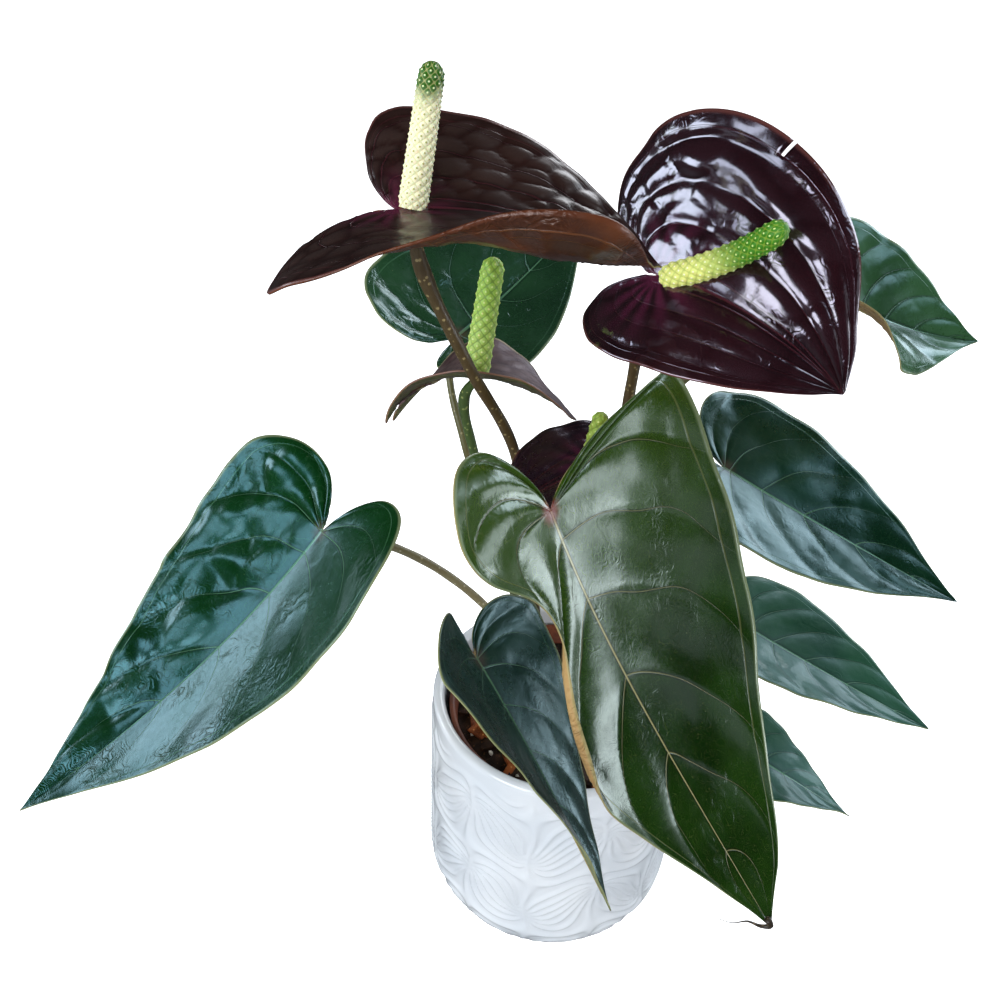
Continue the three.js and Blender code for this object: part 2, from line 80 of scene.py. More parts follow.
def add(tree, kind, inputs=None, **settings):
    node = tree.nodes.new(kind)
    for name, value in settings.items():
        setattr(node, name, value)
    for name, value in (inputs or {}).items():
        put(tree, value, node.inputs[name])
    return node


def calc(tree, operation, *values):
    node = add(tree, "ShaderNodeMath", operation=operation)
    for place, value in enumerate(values):
        put(tree, value, node.inputs[place])
    return node.outputs[0]


def times(tree, first, second):
    return calc(tree, "MULTIPLY", first, second)


def step(tree, value, low, high):
    """0 below low and 1 above high, smooth between them. low may be the larger."""
    inputs = {"Value": value, "From Min": low, "From Max": high}
    node = add(tree, "ShaderNodeMapRange", inputs, interpolation_type="SMOOTHSTEP")
    return node.outputs[0]


def blend(tree, share, first, second, mode="MIX"):
    node = add(tree, "ShaderNodeMix", data_type="RGBA", blend_type=mode)
    put(tree, share, node.inputs[0])
    put(tree, first, node.inputs[6])
    put(tree, second, node.inputs[7])
    return node.outputs[2]


def tint(tree, body, mask, share, tone):
    """The body colour with a share of the tone laid over it where the mask is 1."""
    return blend(tree, times(tree, mask, share), body, tone)


def rgb(red, green, blue):
    """Colour from 0 to 255 screen values."""
    return tuple(
        c / 255 / 12.92 if c <= 10 else ((c / 255 + 0.055) / 1.055) ** 2.4
        for c in (red, green, blue)) + (1.0,)


def new_group(name, inputs, outputs):
    tree = bpy.data.node_groups.new(name, "ShaderNodeTree")
    for label, kind, value in inputs:
        socket = tree.interface.new_socket(label, in_out="INPUT", socket_type=kind)
        if value is not None:
            socket.default_value = value
    for label, kind in outputs:
        tree.interface.new_socket(label, in_out="OUTPUT", socket_type=kind)
    return tree, tree.nodes.new("NodeGroupInput").outputs, tree.nodes.new("NodeGroupOutput").inputs


FLOAT = "NodeSocketFloat"
VECTOR = "NodeSocketVector"


def make_vein_group():
    """Veins of a blade. Place is (share round the edge, share out from the midrib), Flat is the
    place on the flat blade in millimetres, and its third value is the width that one whole lane
    count spans there."""
    tree, given, result = new_group("veins", [
        ("Place", VECTOR, None), ("Flat", VECTOR, None), ("Count", FLOAT, 9.0),
        ("Arch", FLOAT, 0.8), ("Width", FLOAT, 0.4), ("Midrib", FLOAT, 1.1),
        ("Length", FLOAT, 120.0), ("Cell", FLOAT, 3.0), ("Lengthwise", FLOAT, 0.0),
    ], [("Side veins", FLOAT), ("Midrib", FLOAT), ("Net", FLOAT), ("Crumple", FLOAT), ("Crease shade", FLOAT)])
    place = add(tree, "ShaderNodeSeparateXYZ", {0: given["Place"]}).outputs
    flat = add(tree, "ShaderNodeSeparateXYZ", {0: given["Flat"]}).outputs
    spot = add(tree, "ShaderNodeCombineXYZ", {0: flat[0], 1: flat[1]}).outputs[0]
    wander = add(tree, "ShaderNodeTexNoise", {
        "Vector": spot, "Scale": 0.035, "Detail": 0.0}, noise_dimensions="2D").outputs["Fac"]
    round_edge = times(tree, place[0], given["Count"])
    forward = times(tree, times(tree, place[1], place[1]), given["Arch"])
    arched = calc(tree, "SUBTRACT", round_edge, forward)
    outward = times(tree, place[1], given["Count"])
    lane = add(tree, "ShaderNodeMix", {0: given["Lengthwise"], 2: arched, 3: outward}).outputs[0]
    lane = calc(tree, "MULTIPLY_ADD", wander, 0.3, lane)
    apart = calc(tree, "ABSOLUTE", calc(tree, "SUBTRACT", calc(tree, "FRACT", lane), 0.5))
    away = times(tree, apart, calc(tree, "DIVIDE", flat[2], given["Count"]))
    width = times(tree, calc(tree, "SUBTRACT", 1.2, place[1]), given["Width"])
    inner = step(tree, calc(tree, "DIVIDE", away, width), 1.0, 0.35)
    inner = times(tree, inner, step(tree, place[1], 1.0, 0.86))
    beside_edge = calc(tree, "ABSOLUTE", calc(tree, "SUBTRACT", place[1], 0.9))
    gathering = times(tree, step(tree, beside_edge, 0.008, 0.003), 0.45)
    inner = calc(tree, "MAXIMUM", inner, gathering)
    ahead = calc(tree, "DIVIDE", flat[0], given["Length"])
    rib_width = times(tree, calc(tree, "SUBTRACT", 1.12, ahead), given["Midrib"])
    aside = calc(tree, "DIVIDE", calc(tree, "ABSOLUTE", flat[1]), rib_width)
    # Painted shade: this mask darkens the skin beside the side veins and beside the midrib, where the creases
    # lie in shade.
    beside = times(tree, step(tree, calc(tree, "DIVIDE", away, width), 4.5, 0.8), step(
        tree, place[1], 0.95, 0.8))
    beside = calc(tree, "MAXIMUM", beside, step(tree, aside, 3.6, 0.9))
    tree.links.new(beside, result["Crease shade"])
    rib = times(tree, step(tree, aside, 1.0, 0.55), step(tree, ahead, -0.03, 0.0))
    warp = add(tree, "ShaderNodeVectorMath", {
        0: spot, 1: add(tree, "ShaderNodeTexNoise", {
            "Vector": spot, "Scale": 0.15, "Detail": 1.0}).outputs["Color"], 2: (0.8, 0.8, 0.0),
    }, operation="MULTIPLY_ADD")
    net_edge = add(tree, "ShaderNodeTexVoronoi", {
        "Vector": warp.outputs[0], "Scale": calc(tree, "DIVIDE", 1.0, given["Cell"])},
        voronoi_dimensions="2D", feature="DISTANCE_TO_EDGE").outputs["Distance"]
    patches = add(tree, "ShaderNodeTexNoise", {
        "Vector": spot, "Scale": 0.04, "Detail": 1.0}, noise_dimensions="2D").outputs["Fac"]
    tree.links.new(inner, result["Side veins"])
    tree.links.new(rib, result["Midrib"])
    tree.links.new(step(tree, net_edge, 0.07, 0.0), result["Net"])
    folds = add(tree, "ShaderNodeTexNoise", {
        "Vector": warp.outputs[0], "Scale": calc(tree, "DIVIDE", 0.8, given["Cell"]), "Detail": 1.0,
        "Roughness": 0.35}, noise_dimensions="2D").outputs["Fac"]
    tree.links.new(times(tree, folds, step(tree, patches, 0.35, 0.65)), result["Crumple"])
    return tree


def make_mottle_group():
    """Uneven colour: broad clouds, fine grain and scattered flecks, each from 0 to 1."""
    tree, given, result = new_group("mottle", [
        ("Size", FLOAT, 0.02), ("Fleck size", FLOAT, 0.004), ("Fleck reach", FLOAT, 0.12),
    ], [("Clouds", FLOAT), ("Grain", FLOAT), ("Flecks", FLOAT)])
    place = add(tree, "ShaderNodeTexCoord").outputs["Object"]
    scale = calc(tree, "DIVIDE", 1.0, given["Size"])
    clouds = add(tree, "ShaderNodeTexNoise", {"Vector": place, "Scale": scale, "Detail": 3.0})
    grain = add(tree, "ShaderNodeTexNoise", {
        "Vector": place, "Scale": times(tree, scale, 14.0), "Detail": 3.0})
    flecks = add(tree, "ShaderNodeTexVoronoi", {
        "Vector": place, "Scale": calc(tree, "DIVIDE", 1.0, given["Fleck size"])})
    tree.links.new(step(tree, clouds.outputs["Fac"], 0.32, 0.68), result["Clouds"])
    tree.links.new(grain.outputs["Fac"], result["Grain"])
    spot = calc(tree, "SUBTRACT", given["Fleck reach"], flecks.outputs["Distance"])
    tree.links.new(step(tree, spot, 0.0, 0.05), result["Flecks"])
    return tree


VEINS = make_vein_group()
MOTTLE = make_mottle_group()


def start_material(name, **values):
    material = bpy.data.materials.new(name)
    material.use_nodes = True
    tree = material.node_tree
    shader = tree.nodes["Principled BSDF"]
    for label, value in values.items():
        shader.inputs[label.replace("_", " ")].default_value = value
    return material, tree, shader.inputs


def use(tree, group, inputs):
    node = add(tree, "ShaderNodeGroup", node_tree=group)
    for name, value in inputs.items():
        put(tree, value, node.inputs[name])
    return node.outputs


def bump(tree, height, distance, strength=1.0):
    return add(tree, "ShaderNodeBump", {
        "Height": height, "Distance": distance, "Strength": strength}).outputs[0]


def blade_material(name, blade, dark, light, vein, edge, rough, gloss, under=False):
    """Skin of a leaf or spathe: dark between the veins, lighter near the midrib, pale veins and rim, with
    painted shade beside the veins and a painted highlight on blister tops.
    """
    material, tree, shader = start_material(
        name, Specular_IOR_Level=blade["shine"], Specular_Tint=blade["sheen"], Coat_Weight=gloss,
        Coat_Roughness=0.12)
    place = add(tree, "ShaderNodeUVMap", uv_map="place").outputs[0]
    flat = add(tree, "ShaderNodeAttribute", attribute_name="flat").outputs["Vector"]
    parts = add(tree, "ShaderNodeSeparateXYZ", {0: place}).outputs
    out = calc(tree, "ABSOLUTE", calc(tree, "MULTIPLY_ADD", parts[1], 2.0, -1.0))
    spot = add(tree, "ShaderNodeCombineXYZ", {0: parts[0], 1: out}).outputs[0]
    veins = use(tree, VEINS, {
        "Place": spot, "Flat": flat, "Count": blade["veins"], "Arch": blade["arch"],
        "Width": blade["vein_width"], "Midrib": blade["midrib"], "Length": float(blade["length"]),
        "Cell": blade["cell"], "Lengthwise": blade["lengthwise"]})
    mottle = use(tree, MOTTLE, {"Size": 0.03, "Fleck size": 0.006, "Fleck reach": 0.045})
    body = blend(tree, times(tree, mottle["Clouds"], 0.75), dark, light)
    spread = add(tree, "ShaderNodeSeparateXYZ", {0: flat}).outputs
    near_lobes = step(tree, spread[0], 0.5 * blade["length"], -0.2 * blade["length"])
    body = tint(tree, body, near_lobes, 0.0 if under else 0.7, blade["lobe_tone"])
    body = tint(tree, body, veins["Net"], 0.07, vein)
    puff = add(tree, "ShaderNodeAttribute", attribute_name="puff").outputs["Fac"]
    # Painted highlight: blister tops are tinted lighter than the hollows between them, standing in for light
    # on the tops.
    if blade["puff_highlight_share"]:
        body = tint(tree, body, puff, blade["puff_highlight_share"], blade["puff_highlight_tone"])
    # Painted shade in the creases beside the veins.
    body = tint(tree, body, veins["Crease shade"], 0.6, blade["crease_shade"])
    body = tint(tree, body, veins["Side veins"], blade["vein_show"], vein)
    body = tint(tree, body, veins["Midrib"], blade["midrib_show"], vein)
    from_notch = calc(tree, "SQRT", calc(
        tree, "ADD", calc(tree, "POWER", spread[0], 2.0), calc(tree, "POWER", spread[1], 2.0)))
    around = calc(tree, "ARCTAN2", spread[1], spread[0])
    rays = calc(tree, "MULTIPLY_ADD", calc(tree, "SINE", times(tree, around, 13.0)), 0.5, 0.5)
    flush = times(tree, step(tree, from_notch, blade["flush_reach"], 1.5), blade["flush_show"])
    flush = times(tree, flush, calc(tree, "MAXIMUM", rays, step(tree, from_notch, 9.0, 2.0)))
    body = blend(tree, flush, body, blade["flush"])
    rim = step(tree, out, 0.965, 0.995)
    body = tint(tree, body, rim, 0.55, edge)
    body = tint(tree, body, mottle["Flecks"], 0.5, edge)
    tree.links.new(body, shader["Base Color"])
    uneven = calc(tree, "MULTIPLY_ADD", mottle["Grain"], 0.16, rough - 0.08)
    tree.links.new(calc(tree, "MULTIPLY_ADD", mottle["Clouds"], 0.08, uneven), shader["Roughness"])
    ridge = calc(tree, "ADD", times(tree, veins["Side veins"], 0.8), veins["Midrib"])
    crumple = times(tree, veins["Crumple"], -1.0 if under else blade["wrinkle"])
    height = calc(tree, "MULTIPLY_ADD", ridge, 0.6 if under else -0.2, crumple)
    height = calc(tree, "MULTIPLY_ADD", mottle["Grain"], 0.04, height)
    tree.links.new(bump(tree, height, 1 * MM), shader["Normal"])
    return material


# Sheets made from a grid of points


def grid_piece(name, points, place=None, flat=None, extra=None, inward=False):
    """One mesh whose points are rows by columns. Doubled points at seams and poles are merged."""
    rows, cols = points.shape[:2]
    bm = bmesh.new()
    bmesh.ops.create_grid(bm, x_segments=rows - 1, y_segments=cols - 1, size=0.5)
    uv = bm.loops.layers.uv.new("place")
    shape = bm.verts.layers.float_vector.new("flat") if flat is not None else None
    layers = {key: bm.verts.layers.float.new(key) for key in (extra or {})}
    spots = {}
    for vert in bm.verts:
        i = round((vert.co.x + 0.5) * (rows - 1))
        j = round((vert.co.y + 0.5) * (cols - 1))
        spots[vert] = (i, j)
        vert.co = points[i, j]
        if shape:
            vert[shape] = flat[i, j]
        for key, layer in layers.items():
            vert[layer] = extra[key][i, j]
    for face in bm.faces:
        face.smooth = True
        for loop in face.loops:
            i, j = spots[loop.vert]
            loop[uv].uv = place[i, j] if place is not None else (i / (rows - 1), j / (cols - 1))
    if inward:
        bmesh.ops.reverse_faces(bm, faces=bm.faces)
    bmesh.ops.remove_doubles(bm, verts=bm.verts, dist=2e-6)
    mesh = bpy.data.meshes.new(name)
    bm.to_mesh(mesh)
    bm.free()
    return finish_piece(name, mesh)


def finish_piece(name, mesh):
    piece = bpy.data.objects.new(name, mesh)
    bpy.context.scene.collection.objects.link(piece)
    return piece


def stand_for(piece, *nodes):
    """Rides on the plant and takes the place of the CAD nodes given."""
    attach(piece, "root")
    if nodes:
        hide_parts(*nodes)


# Blades

LEAF_FORM = np.array([
    (0, 0), (-0.55, 0.10), (-0.95, 0.30), (-0.98, 0.58), (-0.55, 0.88), (0, 1),
    (0.20, 0.97), (0.45, 0.76), (0.68, 0.46), (0.86, 0.18), (0.95, 0.055), (1, 0)])
SPATHE_FORM = np.array([
    (0, 0), (-0.50, 0.10), (-0.92, 0.30), (-1, 0.56), (-0.66, 0.86), (0, 1.02),
    (0.25, 1), (0.50, 0.84), (0.72, 0.56), (0.88, 0.26), (0.965, 0.07), (1, 0)])
SECTION_STEPS = 10


def spaced_curve(knots, count):
    """Points evenly spaced along a smooth curve through the knots."""
    knots = np.asarray(knots, float)
    ends = np.vstack([2 * knots[0] - knots[1], knots, 2 * knots[-1] - knots[-2]])
    samples = []
    for a, b, c, d in zip(ends, ends[1:], ends[2:], ends[3:]):
        gaps = [max(np.linalg.norm(q - p), 1e-9) ** 0.5 for p, q in ((a, b), (b, c), (c, d))]
        leave = (b - a) / gaps[0] - (c - a) / (gaps[0] + gaps[1]) + (c - b) / gaps[1]
        arrive = (c - b) / gaps[1] - (d - b) / (gaps[1] + gaps[2]) + (d - c) / gaps[2]
        leave, arrive = leave * gaps[1], arrive * gaps[1]
        t = np.linspace(0, 1, 40, endpoint=False)[:, None]
        samples.append(
            b + leave * t + (3 * (c - b) - 2 * leave - arrive) * t ** 2
            + (2 * (b - c) + leave + arrive) * t ** 3)
    line = np.vstack(samples + [knots[-1:]])
    walked = np.concatenate([[0], np.cumsum(np.linalg.norm(np.diff(line, axis=0), axis=1))])
    stops = np.linspace(0, walked[-1], count + 1)
    return np.stack([np.interp(stops, walked, line[:, k]) for k in range(line.shape[1])], axis=1)


def swell(value, place, spread):
    return np.exp(-((value - place) / spread) ** 2)


def half_outline(blade, half, stations):
    """Edge of one flat half, 0 to the blade's left and 1 to its right, from the notch to the tip."""
    knots = blade["form"].copy()
    reach = np.where(knots[:, 0] < 0, blade["lobe"][half], blade["length"])
    knots = np.stack([knots[:, 0] * reach, knots[:, 1] * blade["half_width"][half]], axis=1)
    line = spaced_curve(knots, stations)
    share = line[:, 0] / blade["length"]
    fuller = blade.get("tip_full", (0, 0))[half]
    line[:, 1] += fuller * swell(share, 0.88, 0.13) * np.sqrt(np.clip((1 - share) * 12, 0, 1))
    behind = np.maximum(0, -line[:, 0] / blade["lobe"][half])
    line[:, 1] *= 1 - blade.get("lobe_narrow", (0, 0))[half] * behind ** 1.5
    if half == 1 and blade.get("waist"):
        depth, at, spread = blade["waist"]
        line[:, 1] *= 1 - depth * swell(line[:, 0] / blade["length"], at, spread)
    return line


def bend_blade(blade, half, along, distance, share):
    """Takes points of the flat half blade to their places on the bent one, in blade axes."""
    length = blade["length"]
    rim, rim_start, rim_at, rim_spread = blade["rim"][half], *blade.get("rim_place", (0.45, 0, 1))
    rim = rim * swell(along / length, rim_at, rim_spread)
    side = np.zeros_like(along)
    rise = np.zeros_like(along)
    for i in range(SECTION_STEPS):
        walked = (i + 0.5) / SECTION_STEPS
        curl = np.maximum(0, (walked * share - rim_start) / (1 - rim_start)) ** 2
        cup = blade["cup"][half] * walked * distance / blade["half_width"][half]
        angle = np.radians(blade["fold"][half] + cup + rim * curl)
        side += np.cos(angle) * distance / SECTION_STEPS
        rise += np.sin(angle) * distance / SECTION_STEPS
    bend, lobe_bend, twist = blade["bend"]
    ahead = along >= 0
    turn = np.where(ahead, math.radians(bend) / length, math.radians(lobe_bend) / blade["lobe"][half])
    turn = np.where(np.abs(turn) < 1e-6, 1e-6, turn)
    angle = turn * np.abs(along)
    x = np.where(ahead, 1, -1) * (np.sin(angle) / turn + rise * np.sin(angle))
    drop = -(1 - np.cos(angle)) / turn
    lift = rise * np.cos(angle)
    twist = math.radians(twist) * along / length
    y = side if half == 0 else -side
    sway = blade.get("sway", 0) * np.maximum(0, along / length) ** 3
    return np.stack([
        x, y * np.cos(twist) - lift * np.sin(twist) + sway,
        drop + y * np.sin(twist) + lift * np.cos(twist)], axis=-1)


def blade_axes(blade):
    """The blade's own ahead, left and up directions as rows."""
    heading, droop, roll = (math.radians(a) for a in blade["turn"])
    x = Vector((
        math.cos(heading) * math.cos(droop), math.sin(heading) * math.cos(droop), -math.sin(droop)))
    level = Vector((-math.sin(heading), math.cos(heading), 0))
    y = level * math.cos(roll) + x.cross(level) * math.sin(roll)
    return np.array([x, y, x.cross(y)])


def cells(x, y, size, seed):
    """Distances to the nearest of scattered points and on to the next one: cells meet where the
    second is 0."""
    x, y = x / size, y / size
    base_x, base_y = np.floor(x), np.floor(y)
    near = np.full(x.shape + (9,), 9.0)
    for k in range(9):
        cx, cy = base_x + k % 3 - 1, base_y + k // 3 - 1
        jx = np.modf(np.abs(np.sin(cx * 127.1 + cy * 311.7 + seed) * 4375.85))[0]
        jy = np.modf(np.abs(np.sin(cx * 269.5 + cy * 183.3 + seed) * 2183.31))[0]
        near[..., k] = np.hypot(cx + jx - x, cy + jy - y)
    near.sort(axis=-1)
    return near[..., 0], near[..., 1] - near[..., 0]


def ripple(x, y, size, seed):
    """Smooth unevenness between about -1 and 1."""
    total = np.zeros_like(x)
    for k in range(5):
        angle = seed * 1.7 + k * 2.4
        wave = (x * math.cos(angle) + y * math.sin(angle)) / size * (0.7 + 0.22 * k)
        total += np.sin(wave * 2 * math.pi + seed * 3.1 + k * 1.3 + 0.8 * np.sin(total))
    return total / 3


def blade_relief(blade, half, u, share, x, y, seed):
    """Height of the skin over the smooth blade in millimetres, and how far each blister puffs up."""
    lane = (share if blade["lengthwise"] else u) * blade["veins"] + 0.65
    if not blade["lengthwise"]:
        lane = lane - blade["arch"] * share ** 2
    between = np.abs(np.sin(math.pi * lane)) ** 0.7
    out = np.clip(share * 3, 0, 1) * np.clip((1 - share) * 8, 0, 1) * np.clip((1 - u) * 7, 0, 1)
    middle, gap = cells(x * 0.7, y, blade["blister_size"], seed)
    puff = np.clip(1 - middle ** 2, 0, 1) * np.clip(gap * 3.5, 0, 1) * out
    wave = ripple(x, y, 34, seed + 2)
    quilt, blisters, waves = (value * blade["calm"][half] for value in blade["quilt"])
    relief = quilt * (between - 0.6) * out + blisters * puff + waves * wave * np.clip(share * 2, 0, 1)
    return relief, puff


def make_blade(name, blade, seed):
    rows, cols = blade["grid"]
    edges = [half_outline(blade, half, rows) for half in (0, 1)]
    ahead = np.maximum(0, (edges[0][:, 0] + edges[1][:, 0]) / 2)
    root = (blade["length"] * (ahead / blade["length"]) ** 1.5)[:, None]
    u = np.repeat(np.linspace(0, 1, rows + 1)[:, None], cols + 1, axis=1)
    share = np.repeat(np.linspace(0, 1, cols + 1)[None, :], rows + 1, axis=0)
    halves = []
    for half in (0, 1):
        along = root + (edges[half][:, 0:1] - root) * share
        distance = np.abs(edges[half][:, 1:2]) * share
        body = np.sin(math.pi * u) ** 0.5
        frill = blade["frill"] * body * share ** 4 * np.sin(u * 31 + seed * 2 + half) * np.sin(u * 13 + seed)
        points = bend_blade(blade, half, along, distance, share)
        points[..., 2] += frill
        sign = 1 if half == 0 else -1
        relief, puff = blade_relief(blade, half, u, share, along, distance * sign, seed + half)
        along_u = np.gradient(along, 1 / rows, axis=0), np.gradient(distance, 1 / rows, axis=0)
        along_share = np.gradient(along, 1 / cols, axis=1), np.gradient(distance, 1 / cols, axis=1)
        area = np.abs(along_u[0] * along_share[1] - along_u[1] * along_share[0])
        other = along_u if blade["lengthwise"] else along_share
        pitch = area / np.maximum(np.hypot(*other), 1e-6)
        flat = np.stack([along, distance * sign, np.clip(pitch, 0, 900)], axis=-1)
        place = np.stack([u, 0.5 + sign * share / 2], axis=-1)
        halves.append([points, relief, flat, place, puff])
    points, relief, flat, place, puff = (
        np.concatenate([second[:, :0:-1], first], axis=1) for first, second in zip(*halves))
    across = np.cross(np.gradient(points, axis=0), np.gradient(points, axis=1))
    size = np.linalg.norm(across, axis=-1, keepdims=True)
    normal = np.where(size > 1e-4, across / np.maximum(size, 1e-9), 0)
    fade = np.clip(np.hypot(flat[..., 0], flat[..., 1]) / 6, 0, 1)
    points = points + normal * (relief * fade)[..., None]
    points = (points @ blade_axes(blade) + np.array(blade["notch"])) * MM
    piece = grid_piece(name, points, place, flat, {"puff": puff})
    if blade.get("slit"):
        cut_slit(piece, *blade["slit"])
    for skin in blade["skins"]:
        piece.data.materials.append(skin)
    wall = piece.modifiers.new("wall", "SOLIDIFY")
    wall.thickness = blade["thickness"] * MM
    wall.offset = 0
    wall.material_offset = 1
    wall.material_offset_rim = 1
    return piece


# Share by which the banks of the slit are drawn together again
SLIT_CLOSE = 0.3


def cut_slit(piece, first, last, inner):
    """Opens a narrow tear in from the edge of the blade."""
    bm = bmesh.new()
    bm.from_mesh(piece.data)
    uv = bm.loops.layers.uv["place"]
    torn = []
    banks = set()
    for face in bm.faces:
        spot = sum((loop[uv].uv for loop in face.loops), Vector((0, 0))) / len(face.loops)
        if first < spot.x < last and spot.y > inner:
            torn.append(face)
            banks.update(
                edge for edge in face.edges
                if abs(edge.link_loops[0][uv].uv.x - edge.link_loops[0].link_loop_next[uv].uv.x) > 1e-4)
    for edge in banks:
        middle = (edge.verts[0].co + edge.verts[1].co) / 2
        for vert in edge.verts:
            vert.co = vert.co.lerp(middle, SLIT_CLOSE)
    bmesh.ops.delete(bm, geom=torn, context="FACES")
    bm.to_mesh(piece.data)
    bm.free()


def blade_point(blade, seat, lift=0.0):
    """Place on the bent midrib, seat millimetres ahead of the notch."""
    zero = np.zeros(1)
    point = bend_blade(blade, 0, np.array([float(seat)]), zero, zero)[0]
    point[2] += lift
    return point @ blade_axes(blade) + np.array(blade["notch"])


# Stalks, which start inside the mix

STALK_FOOT = 107.0
STALK_STEPS = 90
RIB_STEPS = 40


def tube_points(line, radii, sides):
    """Rings round a line of points, each ring closed on itself."""
    line = np.asarray(line, float)
    ahead = np.gradient(line, axis=0)
    ahead /= np.linalg.norm(ahead, axis=1, keepdims=True)
    side = np.cross(ahead[0], (0.3, 0.9, 0.1))
    rings = []
    for centre, direction, radius in zip(line, ahead, radii):
        side = side - direction * np.dot(side, direction)
        side /= np.linalg.norm(side)
        other = np.cross(direction, side)
        angles = np.linspace(0, 2 * math.pi, sides + 1)
        rings.append(centre + radius * (np.cos(angles)[:, None] * side + np.sin(angles)[:, None] * other))
    rings = [np.repeat(line[:1], sides + 1, axis=0)] + rings + [np.repeat(line[-1:], sides + 1, axis=0)]
    return np.array(rings)


def make_tube(name, line, radii, sides, skin):
    piece = grid_piece(name, tube_points(line, radii, sides) * MM)
    piece.data.materials.append(skin)
    return piece


def make_stalk(name, blade, seat, skin):
    stalk = blade["stalk"]
    end = blade_point(blade, seat, -0.75 * stalk[0])
    route = [np.array([*stalk[1][0][:2], STALK_FOOT])] + [np.array(p, float) for p in stalk[1]] + [end]
    line = spaced_curve(route, STALK_STEPS)
    share = np.linspace(0, 1, STALK_STEPS + 1)
    radii = stalk[0] * (1 + 0.35 * swell(share, 0, 0.22) + 0.2 * swell(share, 0.93, 0.03))
    radii = radii * (1 - 0.35 * swell(share, 1, 0.02)) * (1 + 0.03 * np.sin(share * 70))
    return make_tube(name, line, radii, 12, skin)


def make_under_rib(name, blade, skin):
    """Raised midrib along the underside of a leaf, running on from its stalk."""
    stops = np.linspace(0.01, 0.93, RIB_STEPS) * blade["length"]
    zero = np.zeros_like(stops)
    line = bend_blade(blade, 0, stops, zero, zero)
    radii = np.linspace(blade["stalk"][0] * 0.55, 0.2, RIB_STEPS)
    line[:, 2] -= radii * 0.9 + 0.15
    line = line @ blade_axes(blade) + np.array(blade["notch"])
    return make_tube(name, line, radii, 8, skin)


# Flower spikes


FLORET_STEPS = 7


def make_spadix(name, blade, spadix, skin, seat):
    """Spike of florets: its tip, radius, florets round and along it, and how far it bows out."""
    tip, radius, around, along, bow = spadix
    base = blade_point(blade, seat)
    axis = np.array(tip) - base
    length = np.linalg.norm(axis)
    rows, cols = along * FLORET_STEPS, around * FLORET_STEPS
    share = np.repeat(np.linspace(0, 1, rows + 1)[:, None], cols + 1, axis=1)
    turn = np.repeat(np.linspace(0, 2 * math.pi, cols + 1)[None, :], rows + 1, axis=0)
    tip_share = np.clip((share - 0.88) / 0.12, 0, 1)
    girth = radius * (1 - 0.17 * share) * np.sqrt(np.clip(1 - tip_share ** 2.2, 0, 1))
    girth = girth * (0.86 + 0.14 * np.clip(share / 0.06, 0, 1))
    floret = np.abs(np.cos(math.pi * share * along) + np.cos(turn * around / 2)) / 2
    if around % 2:
        raise ValueError("florets round a spadix come in an even number")
    knob = np.clip((floret - 0.78) / 0.2, 0, 1)
    knob = knob * knob * (3 - 2 * knob)
    fade = np.clip(girth / radius * 1.6, 0, 1)
    reach = girth + fade * (0.3 * np.minimum(floret * 2.2, 1) - 0.25 + 0.28 * knob)
    reach = np.where(share >= 1, 0, reach)
    points = np.stack([
        reach * np.cos(turn) + bow * np.sin(math.pi * share), reach * np.sin(turn), length * share], axis=-1)
    points = np.concatenate([np.zeros((1, cols + 1, 3)), points])
    knob = np.concatenate([knob[:1], knob])
    crown = np.concatenate([floret[:1], floret])
    share = np.concatenate([share[:1], share])
    turned = Vector((0, 0, 1)).rotation_difference(Vector(axis)).to_matrix()
    points = (points @ np.array(turned).T + base) * MM
    piece = grid_piece(name, points, extra={"knob": knob, "share": share, "crown": crown}, inward=True)
    piece.data.materials.append(skin)
    return piece


def spadix_material(name, low, high, greening, knob_low, knob_high, pit_shade):
    material, tree, shader = start_material(name, Roughness=0.45, Subsurface_Weight=0.15)
    shader["Subsurface Scale"].default_value = 0.0015
    knob = add(tree, "ShaderNodeAttribute", attribute_name="knob").outputs["Fac"]
    share = add(tree, "ShaderNodeAttribute", attribute_name="share").outputs["Fac"]
    groove = add(tree, "ShaderNodeAttribute", attribute_name="crown").outputs["Fac"]
    mottle = use(tree, MOTTLE, {"Size": 0.006})
    share = calc(tree, "MULTIPLY_ADD", calc(tree, "SUBTRACT", mottle["Clouds"], 0.5), 0.08, share)
    upper = step(tree, share, *greening)
    body = blend(tree, upper, low, high)
    # Painted shade: a darker tone in the pits between the florets.
    body = tint(tree, body, step(tree, groove, 0.3, 0.03), 0.55, pit_shade)
    dots = blend(tree, upper, knob_low, knob_high)
    body = blend(tree, step(tree, knob, 0.45, 0.85), body, dots)
    tree.links.new(body, shader["Base Color"])
    tree.links.new(bump(tree, mottle["Grain"], 0.15 * MM), shader["Normal"])
    return material


def stalk_material(name, low, high, fleck):
    material, tree, shader = start_material(name, Coat_Weight=0.2, Coat_Roughness=0.25)
    mottle = use(tree, MOTTLE, {"Size": 0.03, "Fleck size": 0.0024, "Fleck reach": 0.25})
    place = add(tree, "ShaderNodeTexCoord").outputs["Object"]
    streaks = add(tree, "ShaderNodeTexNoise", {
        "Vector": add(tree, "ShaderNodeMapping", {"Vector": place, "Scale": (900.0, 900.0, 40.0)}).outputs[0],
        "Scale": 1.0, "Detail": 2.0}).outputs["Fac"]
    height = add(tree, "ShaderNodeSeparateXYZ", {0: place}).outputs[2]
    share = calc(tree, "MULTIPLY_ADD", mottle["Clouds"], 0.35, step(tree, height, 0.14, 0.34))
    body = blend(tree, step(tree, share, 0.1, 1.1), low, high)
    body = tint(tree, body, streaks, 0.15, fleck)
    body = tint(tree, body, mottle["Flecks"], 0.75, fleck)
    tree.links.new(body, shader["Base Color"])
    tree.links.new(calc(tree, "MULTIPLY_ADD", mottle["Grain"], 0.3, 0.3), shader["Roughness"])
    tree.links.new(bump(tree, streaks, 0.25 * MM), shader["Normal"])
    return material


# Pot with low leaf ribs

